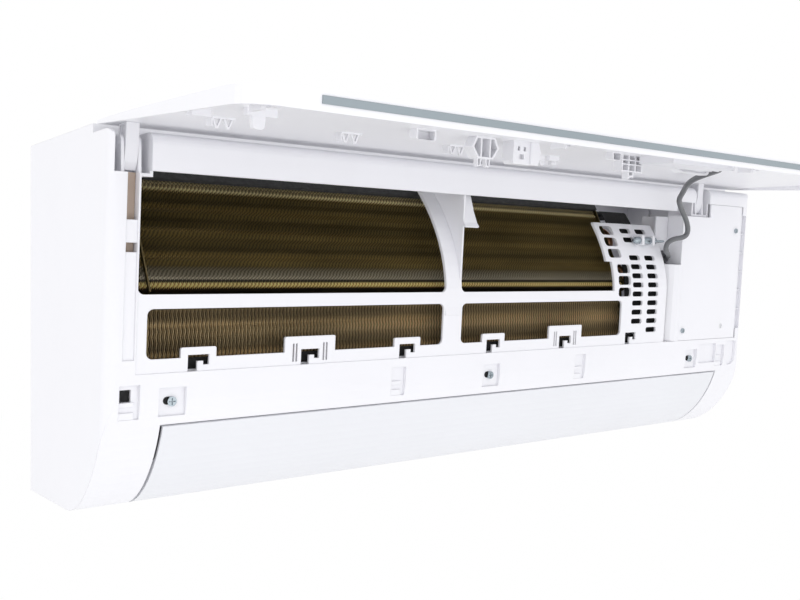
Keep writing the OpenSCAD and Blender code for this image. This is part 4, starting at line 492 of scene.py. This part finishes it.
def make_small_shades():
    """Warm-toned painted shade in the left channel, and dark painted shade beside the screws and in the left
    latch hole.
    """
    channel = []
    block(channel, *CHANNEL_SHADE_BOX)
    warm_shade = finish_solids("channel_warm_shade", channel, face_point)
    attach(warm_shade, "unit")
    shade_pads = []
    for x in SCREW_SHADE_X:
        outline = arc(x, SCREW_SHADE_Z, SCREW_SHADE_R, 90, 270, 6)
        outline += [(x + SCREW_SHADE_FLAT, SCREW_SHADE_Z + r) for r in (-SCREW_SHADE_R, SCREW_SHADE_R)]
        n = len(outline)
        sides = [(k, (k + 1) % n, n + (k + 1) % n, n + k) for k in range(n)]
        verts = [(a, d, z) for d in SCREW_SHADE_D for a, z in outline]
        shade_pads.append((verts, sides + [tuple(range(n)), tuple(range(n, 2 * n))]))
    block(shade_pads, *LATCH_HOLE_SHADE)
    dark = finish_solids("recess_painted_shade", shade_pads, face_point)
    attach(dark, "unit")
    return warm_shade, dark


# Materials. Bumps and softened edges are in mm, and scales of noise are waves per metre
PLASTIC_BUMP = 0.02
METAL_BUMP, METAL_BUMP_LEVEL, METAL_EDGE = 0.2, 0.08, 0.3
FOAM_BUMP, FOAM_BUMP_LEVEL = 0.3, 0.5
EDGE_SAMPLES = 4
CLOUD_SCALE = 9.0
SHEEN_SCALE = 55.0
MARK_SCALE = 40.0
FINE_DETAIL, MARK_DETAIL = 2.0, 4.0
CELL_SCALE = 1500.0
CELL_CLOUD_SCALE = 300.0
PATCH_SCALE, PATCH_STRETCH = 18.0, (0.6, 3, 3)
# Levels of noise between which a value and a colour change, and those of a wave
NOISE_SPAN = (0.3, 0.7)
TINT_SPAN = (0.35, 0.65)
WAVE_SPAN = (-1, 1)
# How far a plastic's roughness spreads below and above its own, and how dark a metal and a foam get
PLASTIC_SPREAD = (-0.04, 0.05)
METAL_SHADE = 0.86
FOAM_SHADE, FOAM_ROUGH = 0.6, 0.85


def start_material(name):
    """New material with its nodes, links and shader."""
    material = bpy.data.materials.new(name)
    material.use_nodes = True
    nodes, links = material.node_tree.nodes, material.node_tree.links
    return material, nodes, links, nodes["Principled BSDF"]


def add_noise(nodes, links, scale, detail=3.0, stretch=None):
    """Noise over a piece, with a scale of its own along each way where it is stretched."""
    place = nodes.new("ShaderNodeTexCoord").outputs["Object"]
    if stretch:
        mapping = nodes.new("ShaderNodeMapping")
        mapping.inputs["Scale"].default_value = stretch
        links.new(place, mapping.inputs["Vector"])
        place = mapping.outputs["Vector"]
    noise = nodes.new("ShaderNodeTexNoise")
    noise.inputs["Scale"].default_value = scale
    noise.inputs["Detail"].default_value = detail
    links.new(place, noise.inputs["Vector"])
    return noise.outputs["Fac"]


def add_range(nodes, links, source, levels, span=NOISE_SPAN):
    """Value that goes from one level to the other while the source goes over the span."""
    spread = nodes.new("ShaderNodeMapRange")
    for name, value in zip(("From Min", "From Max", "To Min", "To Max"), (*span, *levels)):
        spread.inputs[name].default_value = value
    links.new(source, spread.inputs["Value"])
    return spread.outputs["Result"]


def add_tint(nodes, links, source, first, second):
    """Colour that goes from the first to the second with the source."""
    ramp = nodes.new("ShaderNodeValToRGB")
    for element, position, colour in zip(ramp.color_ramp.elements, TINT_SPAN, (first, second)):
        element.position = position
        element.color = (*colour, 1)
    links.new(source, ramp.inputs["Fac"])
    return ramp.outputs["Color"]


def add_bump(nodes, links, shader, height, level, deep, edge=0):
    """Bumps of a depth in mm, and edges softened over a radius in mm."""
    bump = nodes.new("ShaderNodeBump")
    bump.inputs["Strength"].default_value = level
    bump.inputs["Distance"].default_value = deep * MM
    links.new(height, bump.inputs["Height"])
    if edge:
        bevel = nodes.new("ShaderNodeBevel")
        bevel.samples = EDGE_SAMPLES
        bevel.inputs["Radius"].default_value = edge * MM
        links.new(bevel.outputs["Normal"], bump.inputs["Normal"])
    links.new(bump.outputs["Normal"], shader.inputs["Normal"])


def add_math(nodes, links, operation, first, second=None):
    """Result of a sum on a socket and, where given, a second socket or a number."""
    node = nodes.new("ShaderNodeMath")
    node.operation = operation
    links.new(first, node.inputs[0])
    if isinstance(second, (int, float)):
        node.inputs[1].default_value = second
    elif second is not None:
        links.new(second, node.inputs[1])
    return node.outputs["Value"]


def add_dot(nodes, links, place, way):
    """How far a place lies along a way."""
    node = nodes.new("ShaderNodeVectorMath")
    node.operation = "DOT_PRODUCT"
    node.inputs[1].default_value = way
    links.new(place, node.inputs[0])
    return node.outputs["Value"]


def plastic(name, colour, rough, edge=0.7, grain=70, shade=0.985):
    """Moulded plastic: faint cloudiness, slight waviness and softened edges."""
    material, nodes, links, shader = start_material(name)
    cloud = add_noise(nodes, links, CLOUD_SCALE)
    links.new(add_tint(nodes, links, cloud, [c * shade for c in colour], colour), shader.inputs["Base Color"])
    sheen = add_noise(nodes, links, SHEEN_SCALE)
    spread = add_range(nodes, links, sheen, [rough + d for d in PLASTIC_SPREAD])
    links.new(spread, shader.inputs["Roughness"])
    add_bump(nodes, links, shader, add_noise(nodes, links, grain, FINE_DETAIL), 1.0, PLASTIC_BUMP, edge)
    return material


def metal(name, colour, rough, stretch, spread_by=0.12):
    """Metal with fine marks, drawn out where it is stretched unevenly."""
    material, nodes, links, shader = start_material(name)
    marks = add_noise(nodes, links, MARK_SCALE, MARK_DETAIL, stretch)
    tint = add_tint(nodes, links, marks, [c * METAL_SHADE for c in colour], colour)
    links.new(tint, shader.inputs["Base Color"])
    spread = add_range(nodes, links, marks, (rough - spread_by / 2, rough + spread_by / 2))
    links.new(spread, shader.inputs["Roughness"])
    add_bump(nodes, links, shader, marks, METAL_BUMP_LEVEL, METAL_BUMP, METAL_EDGE)
    shader.inputs["Metallic"].default_value = 1.0
    return material


def foam(name, colour):
    """Foam with small open cells."""
    material, nodes, links, shader = start_material(name)
    cells = nodes.new("ShaderNodeTexVoronoi")
    cells.inputs["Scale"].default_value = CELL_SCALE
    links.new(nodes.new("ShaderNodeTexCoord").outputs["Object"], cells.inputs["Vector"])
    cloud = add_noise(nodes, links, CELL_CLOUD_SCALE)
    tint = add_tint(nodes, links, cloud, [c * FOAM_SHADE for c in colour], colour)
    links.new(tint, shader.inputs["Base Color"])
    add_bump(nodes, links, shader, cells.outputs["Distance"], FOAM_BUMP_LEVEL, FOAM_BUMP)
    shader.inputs["Roughness"].default_value = FOAM_ROUGH
    return material


# Coil, in mm
COIL_T = 24.0
COIL_X = (-384.0, 192.0)
TUBE_R = 3.5
TUBE_GAP = 0.05
COLLAR_T = 0.3
COLLAR_SIDES = 20
FIN_PITCH = 1.7
FIN_T = 0.2
FIN_WAVE = 0.45
FIN_STEP = 4.4
FIN_INSET = 0.4
FIN_STRAY = 0.05
# Shares of the upper slab's length where its fins' front edge zigzags, and how deep
NOTCHED_SHARES = (0.85, 0.95)
NOTCH = 1.4
# Rise of the fins' slanting hatch of painted shade, and of the lower slab's nearly upright stripes of painted
# shade
HATCH_RISE = 3.6
STRIPE_RISE = 400
# Slabs: front lower corner's depth and height, lean in degrees, length up the slab and rows of tubes
Slab = namedtuple("Slab", "depth height lean length rows")
LOWER_SLAB = Slab(-162.0, -38.0, 0.0, 48.0, 2)
UPPER_SLAB = Slab(-168.0, 25.0, -26.0, 110.0, 5)
REAR_SLAB = Slab(-73.97, 123.87, -140.2, 76.0, 3)
# Linear colours, and the heights up a slab, in mm, at which they are reached
# They are the fins' golden coat with painted light: dark bands of painted shade, bright bands of painted
# highlight, and an upper slab darker than the lower where the raised panel shades it
BRONZE = (0.22, 0.16, 0.055)
SAND = (0.5, 0.38, 0.21)
GOLD = (0.85, 0.68, 0.3)
PALE_GOLD = (0.8, 0.7, 0.42)
OLIVE = (0.4, 0.34, 0.2)
LOWER_STOPS = [(0, (0.34, 0.26, 0.14)), (10, SAND), (48, SAND)]
UPPER_STOPS = [(0, (0.02, 0.016, 0.01)), (2, (0.03, 0.022, 0.01)), (3.5, GOLD), (6.5, GOLD),
               (8, (0.03, 0.025, 0.02)), (9.5, (0.03, 0.026, 0.02)), (11, (0.55, 0.5, 0.38)),
               (19, (0.4, 0.34, 0.22)), (22, BRONZE), (90, BRONZE), (92, PALE_GOLD), (93.5, PALE_GOLD),
               (94.5, OLIVE), (102, (0.5, 0.43, 0.27)), (110, OLIVE)]
REAR_STOPS = [(0, BRONZE), (76, BRONZE)]
# Packs of fins: slab, colours, darkest level of the hatch of painted shade between fins and its rise
FIN_PACKS = (("lower", LOWER_SLAB, LOWER_STOPS, 0.55, STRIPE_RISE),
             ("upper", UPPER_SLAB, UPPER_STOPS, 0.5, HATCH_RISE),
             ("rear", REAR_SLAB, REAR_STOPS, 0.5, HATCH_RISE))
# Levels of the fins' colour in the gaps between tubes, darkened as painted shade, and along the tubes,
# brightened as painted highlight, and of its cloudiness
BAND_LEVELS = (0.72, 1.2)
CLOUD_LEVELS = (0.82, 1.12)
FIN_ROUGH = (0.38, 0.5)
FIN_METALLIC = 0.5


def slab_point(slab, depth, along):
    """Depth and height in the unit of a point of a slab."""
    lean = math.radians(slab.lean)
    return (slab.depth + depth * math.cos(lean) - along * math.sin(lean),
            slab.height + depth * math.sin(lean) + along * math.cos(lean))


def add_fin(slab, steps, x, zigzag, verts, faces):
    """One wavy fin, whose front edge steps in at every other notched point where zigzag is 0 or 1."""
    base = len(verts)
    for k in range(steps + 1):
        along = slab.length * k / steps
        swing = FIN_WAVE * (1 if k % 2 else -1)
        front, rear = FIN_INSET, COIL_T - FIN_INSET
        if zigzag is not None and NOTCHED_SHARES[0] < k / steps < NOTCHED_SHARES[1]:
            front += NOTCH * ((k + zigzag) % 2)
        for depth, side in ((front, -1), (front, 1), (rear, 1), (rear, -1)):
            y, z = slab_point(slab, depth, along)
            verts.append(((x + swing + side * FIN_T / 2) * MM, y * MM, z * MM))
    for a in range(base, base + 4 * steps, 4):
        faces += [(a + s, a + (s + 1) % 4, a + 4 + (s + 1) % 4, a + 4 + s) for s in range(4)]
    faces.append((base + 3, base + 2, base + 1, base))
    top = base + 4 * steps
    faces.append((top, top + 1, top + 2, top + 3))


def add_collars(slab, verts, faces):
    """Sleeves of the fins round each tube."""
    for row in range(slab.rows):
        for depth in (COIL_T / 4, 3 * COIL_T / 4):
            along = (row + 0.5) * slab.length / slab.rows
            base = len(verts)
            for x in COIL_X:
                for r in (TUBE_R + TUBE_GAP, TUBE_R + COLLAR_T):
                    for k in range(COLLAR_SIDES):
                        turn = 2 * math.pi * k / COLLAR_SIDES
                        y, z = slab_point(slab, depth + r * math.cos(turn), along + r * math.sin(turn))
                        verts.append((x * MM, y * MM, z * MM))
            for k in range(COLLAR_SIDES):
                t = (k + 1) % COLLAR_SIDES
                rings = [base + n * COLLAR_SIDES for n in (0, 1, 3, 2)]
                for a, b in zip(rings, rings[1:] + rings[:1]):
                    faces.append((a + k, a + t, b + t, b + k))


def make_fins(name, slab, node, notched=False):
    """A pack of thin wavy fins. A notched pack's front edge zigzags near its upper end."""
    verts, faces = [], []
    steps = max(2, round(slab.length / FIN_STEP))
    random.seed(7)
    count = int((COIL_X[1] - COIL_X[0]) / FIN_PITCH)
    for fin in range(count):
        x = COIL_X[0] + (fin + 0.5) * FIN_PITCH + random.uniform(-FIN_STRAY, FIN_STRAY)
        add_fin(slab, steps, x, fin % 2 if notched else None, verts, faces)
    add_collars(slab, verts, faces)
    piece = new_piece(name, verts, faces)
    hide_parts(node)
    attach(piece, "unit")
    return piece


def fin_metal(name, slab, stops, hatch_low, rise):
    """Fins in their golden coat with painted light: colour that changes up the slab with painted shade and
    highlights, painted shade along each gap between tubes, and a fine hatch of painted shade between fins.
    """
    material, nodes, links, shader = start_material(name)
    lean = math.radians(slab.lean)
    up_y, up_z = -math.sin(lean), math.cos(lean)
    place = nodes.new("ShaderNodeTexCoord").outputs["Object"]
    start = (up_y * slab.depth + up_z * slab.height) * MM
    height = add_dot(nodes, links, place, (0, up_y, up_z))
    share = add_range(nodes, links, height, (0, 1), (start, start + slab.length * MM))
    ramp = nodes.new("ShaderNodeValToRGB")
    while len(ramp.color_ramp.elements) < len(stops):
        ramp.color_ramp.elements.new(0.5)
    for element, (along, colour) in zip(ramp.color_ramp.elements, stops):
        element.position = along / slab.length
        element.color = (*colour, 1)
    links.new(share, ramp.inputs["Fac"])
    turns = add_math(nodes, links, "MULTIPLY", share, 2 * math.pi * slab.rows)
    level = add_range(nodes, links, add_math(nodes, links, "SINE", turns), BAND_LEVELS, WAVE_SPAN)
    patches = add_noise(nodes, links, PATCH_SCALE, stretch=PATCH_STRETCH)
    level = add_math(nodes, links, "MULTIPLY", level, add_range(nodes, links, patches, CLOUD_LEVELS))
    turn = 2 * math.pi / (rise * MM)
    weave = add_dot(nodes, links, place, (math.pi / (FIN_PITCH * MM), up_y * turn, up_z * turn))
    stripes = add_math(nodes, links, "SINE", weave)
    hatch = add_range(nodes, links, stripes, (hatch_low, 2 - hatch_low), WAVE_SPAN)
    tint = nodes.new("ShaderNodeVectorMath")
    tint.operation = "SCALE"
    links.new(ramp.outputs["Color"], tint.inputs[0])
    links.new(add_math(nodes, links, "MULTIPLY", level, hatch), tint.inputs["Scale"])
    links.new(tint.outputs["Vector"], shader.inputs["Base Color"])
    links.new(add_range(nodes, links, patches, FIN_ROUGH), shader.inputs["Roughness"])
    shader.inputs["Metallic"].default_value = FIN_METALLIC
    return material


def dress_nodes():
    """A material for every CAD node."""
    white = plastic("casing_plastic", (0.87, 0.87, 0.91), 0.36)
    panel = plastic("panel_plastic", (0.89, 0.89, 0.925), 0.36, edge=0, grain=40)
    louver = plastic("louver_plastic", (0.80, 0.81, 0.85), 0.36, edge=0.6, grain=40)
    inner = plastic("inner_plastic", (0.83, 0.83, 0.87), 0.48)
    cover = plastic("cover_plastic", (0.87, 0.87, 0.91), 0.40)
    silver = plastic("trim_paint", (0.31, 0.36, 0.395), 0.42, shade=0.95)
    steel = metal("plated_steel", (0.42, 0.48, 0.52), 0.2, (8, 8, 8))
    sheet = metal("galvanised_sheet", (0.66, 0.68, 0.70), 0.42, (6, 6, 6), 0.2)
    ends = metal("coated_end_plate", (0.18, 0.14, 0.065), 0.5, (6, 6, 6), 0.2)
    copper = metal("copper_tube", (0.72, 0.38, 0.22), 0.34, (40, 40, 40))
    brass = metal("brass_nut", (0.76, 0.60, 0.28), 0.30, (60, 2, 60))
    motor = metal("motor_case", (0.52, 0.54, 0.56), 0.45, (30, 3, 3))
    dark = plastic("dark_plastic", (0.05, 0.05, 0.055), 0.5, shade=0.7)
    rubber = plastic("grey_rubber", (0.10, 0.10, 0.11), 0.62, shade=0.8, grain=400)
    hose = plastic("hose_plastic", (0.72, 0.72, 0.70), 0.5)
    board = plastic("board_lacquer", (0.03, 0.16, 0.07), 0.35, shade=0.7, grain=900)
    button = plastic("button_plastic", (0.72, 0.73, 0.75), 0.4)
    black_foam = foam("black_foam", (0.04, 0.04, 0.042))
    wrap = foam("pipe_wrap", (0.03, 0.03, 0.032))
    by_node = {
        "front_frame": white, "electric_cover": cover, "panel_shell": panel, "panel_clips": panel,
        "louver_skin": louver, "panel_strip": silver, "coil_seal": black_foam,
        "coil_tubes": copper, "gas_pipe": wrap, "liquid_pipe": wrap, "flare_nuts": brass,
        "coil_end_left": ends, "coil_end_right": ends, "wall_plate": sheet, "room_sensor": steel,
        "frame_screws": steel, "cover_screws": steel, "fan_shaft": steel, "fan_motor": motor,
        "louver_motor": motor, "vane_motor": motor, "fan_wheel": dark, "board_parts": dark,
        "terminal_block": dark, "fan_bearing": rubber, "drain_plug": rubber, "cable_gland": rubber,
        "drain_hose": hose, "control_board": board, "display_board": board, "auto_button": button}
    for name, node in frame["nodes"].items():
        node.data.materials.clear()
        node.data.materials.append(by_node.get(name, inner))


# Studio: white backdrop and plain lamps, each with its name, place, size and power
LAMPS = [("key_lamp", (0.7, -2.6, 0.4), 1.6, 1.6),
         ("fill_lamp", (-1.9, -2.0, 0.5), 2.0, 1),
         ("low_lamp", (-0.2, -1.15, -0.8), 1.4, 3.6),
         ("side_lamp", (-2.6, -0.3, 0.3), 1.6, 3)]
LAMP_TARGET = Vector((0, -0.15, 0))
FLOOR_Z = -0.9
FLOOR_REACH = 6.0
FLOOR_COLOUR, FLOOR_ROUGH = (0.95, 0.95, 0.95, 1), 0.9
# Share of plain white in what the camera sees of the floor; the rest is the lit floor with its shadow
FLOOR_WHITE = 0.97
WHITE = (1, 1, 1, 1)
WORLD_LEVEL = 1.02


def show_white(nodes, links, lit, white, end, share=1.0):
    """Camera, mirror and glass rays see a share of plain white, and all else sees the lit shader."""
    rays = nodes.new("ShaderNodeLightPath").outputs
    seen = add_math(nodes, links, "MAXIMUM", rays["Is Camera Ray"], rays["Is Glossy Ray"])
    seen = add_math(nodes, links, "MAXIMUM", seen, rays["Is Transmission Ray"])
    mix = nodes.new("ShaderNodeMixShader")
    links.new(add_math(nodes, links, "MULTIPLY", seen, share), mix.inputs["Fac"])
    links.new(lit, mix.inputs[1])
    links.new(white, mix.inputs[2])
    links.new(mix.outputs["Shader"], nodes[end].inputs["Surface"])


def make_world():
    """White surroundings that light the object a little more than they show."""
    world = bpy.data.worlds.new("studio")
    bpy.context.scene.world = world
    world.use_nodes = True
    nodes, links = world.node_tree.nodes, world.node_tree.links
    light, white = nodes["Background"], nodes.new("ShaderNodeBackground")
    for sky, level in ((light, WORLD_LEVEL), (white, 1.0)):
        sky.inputs["Color"].default_value = WHITE
        sky.inputs["Strength"].default_value = level
    show_white(nodes, links, light.outputs["Background"], white.outputs["Background"], "World Output")


def make_floor():
    """Plain floor, white to the camera apart from a faint shadow."""
    corners = [(x * FLOOR_REACH, y * FLOOR_REACH, FLOOR_Z) for x, y in ((-1, -1), (1, -1), (1, 1), (-1, 1))]
    floor = new_piece("floor", corners, [(0, 1, 2, 3)])
    material, nodes, links, shader = start_material("floor_white")
    shader.inputs["Base Color"].default_value = FLOOR_COLOUR
    shader.inputs["Roughness"].default_value = FLOOR_ROUGH
    white = nodes.new("ShaderNodeEmission")
    white.inputs["Color"].default_value = WHITE
    lit, plain = shader.outputs["BSDF"], white.outputs["Emission"]
    show_white(nodes, links, lit, plain, "Material Output", FLOOR_WHITE)
    floor.data.materials.append(material)


def make_lamps():
    """Square lamps that all face the middle of the front."""
    for name, place, size, power in LAMPS:
        data = bpy.data.lights.new(name, "AREA")
        data.size = size
        data.energy = power
        lamp = add_object(name, data)
        lamp.location = place
        lamp.rotation_euler = (LAMP_TARGET - Vector(place)).to_track_quat("-Z", "Y").to_euler()


make_camera()
LEAD = make_lead()
LEAD.data.materials.append(plastic("lead_sheath", (0.16, 0.165, 0.175), 0.42, edge=0, shade=0.85, grain=300))

dress_nodes()
CLIPS = make_clips()
CLIPS.data.materials.append(plastic("clip_plastic", (0.88, 0.88, 0.915), 0.34, edge=0, grain=60))
# The sheets' near-black colour is painted shade inside the unit
make_shade_sheets().data.materials.append(foam("painted_shade_foam", (0.01, 0.01, 0.0105)))
WARM_SHADE, DARK_PADS = make_small_shades()
# The brownish colour is painted warm shade in the channel
WARM_SHADE.data.materials.append(plastic("warm_shade_plastic", (0.46, 0.36, 0.29), 0.5, edge=0, shade=0.9))
# The near-black colour is painted shade in the holes
DARK_PADS.data.materials.append(foam("recess_shade_foam", (0.015, 0.015, 0.016)))
for part, slab_shape, colours, darkest, hatch_rise in FIN_PACKS:
    fins = make_fins("fins_" + part, slab_shape, "coil_fins_" + part, part == "upper")
    # Each pack's material paints shade and highlights onto the fins' coat
    fins.data.materials.append(fin_metal("fin_coat_and_shade_" + part, slab_shape, colours, darkest, hatch_rise))

make_world()
make_floor()
make_lamps()
bpy.context.scene.view_settings.view_transform = "Standard"
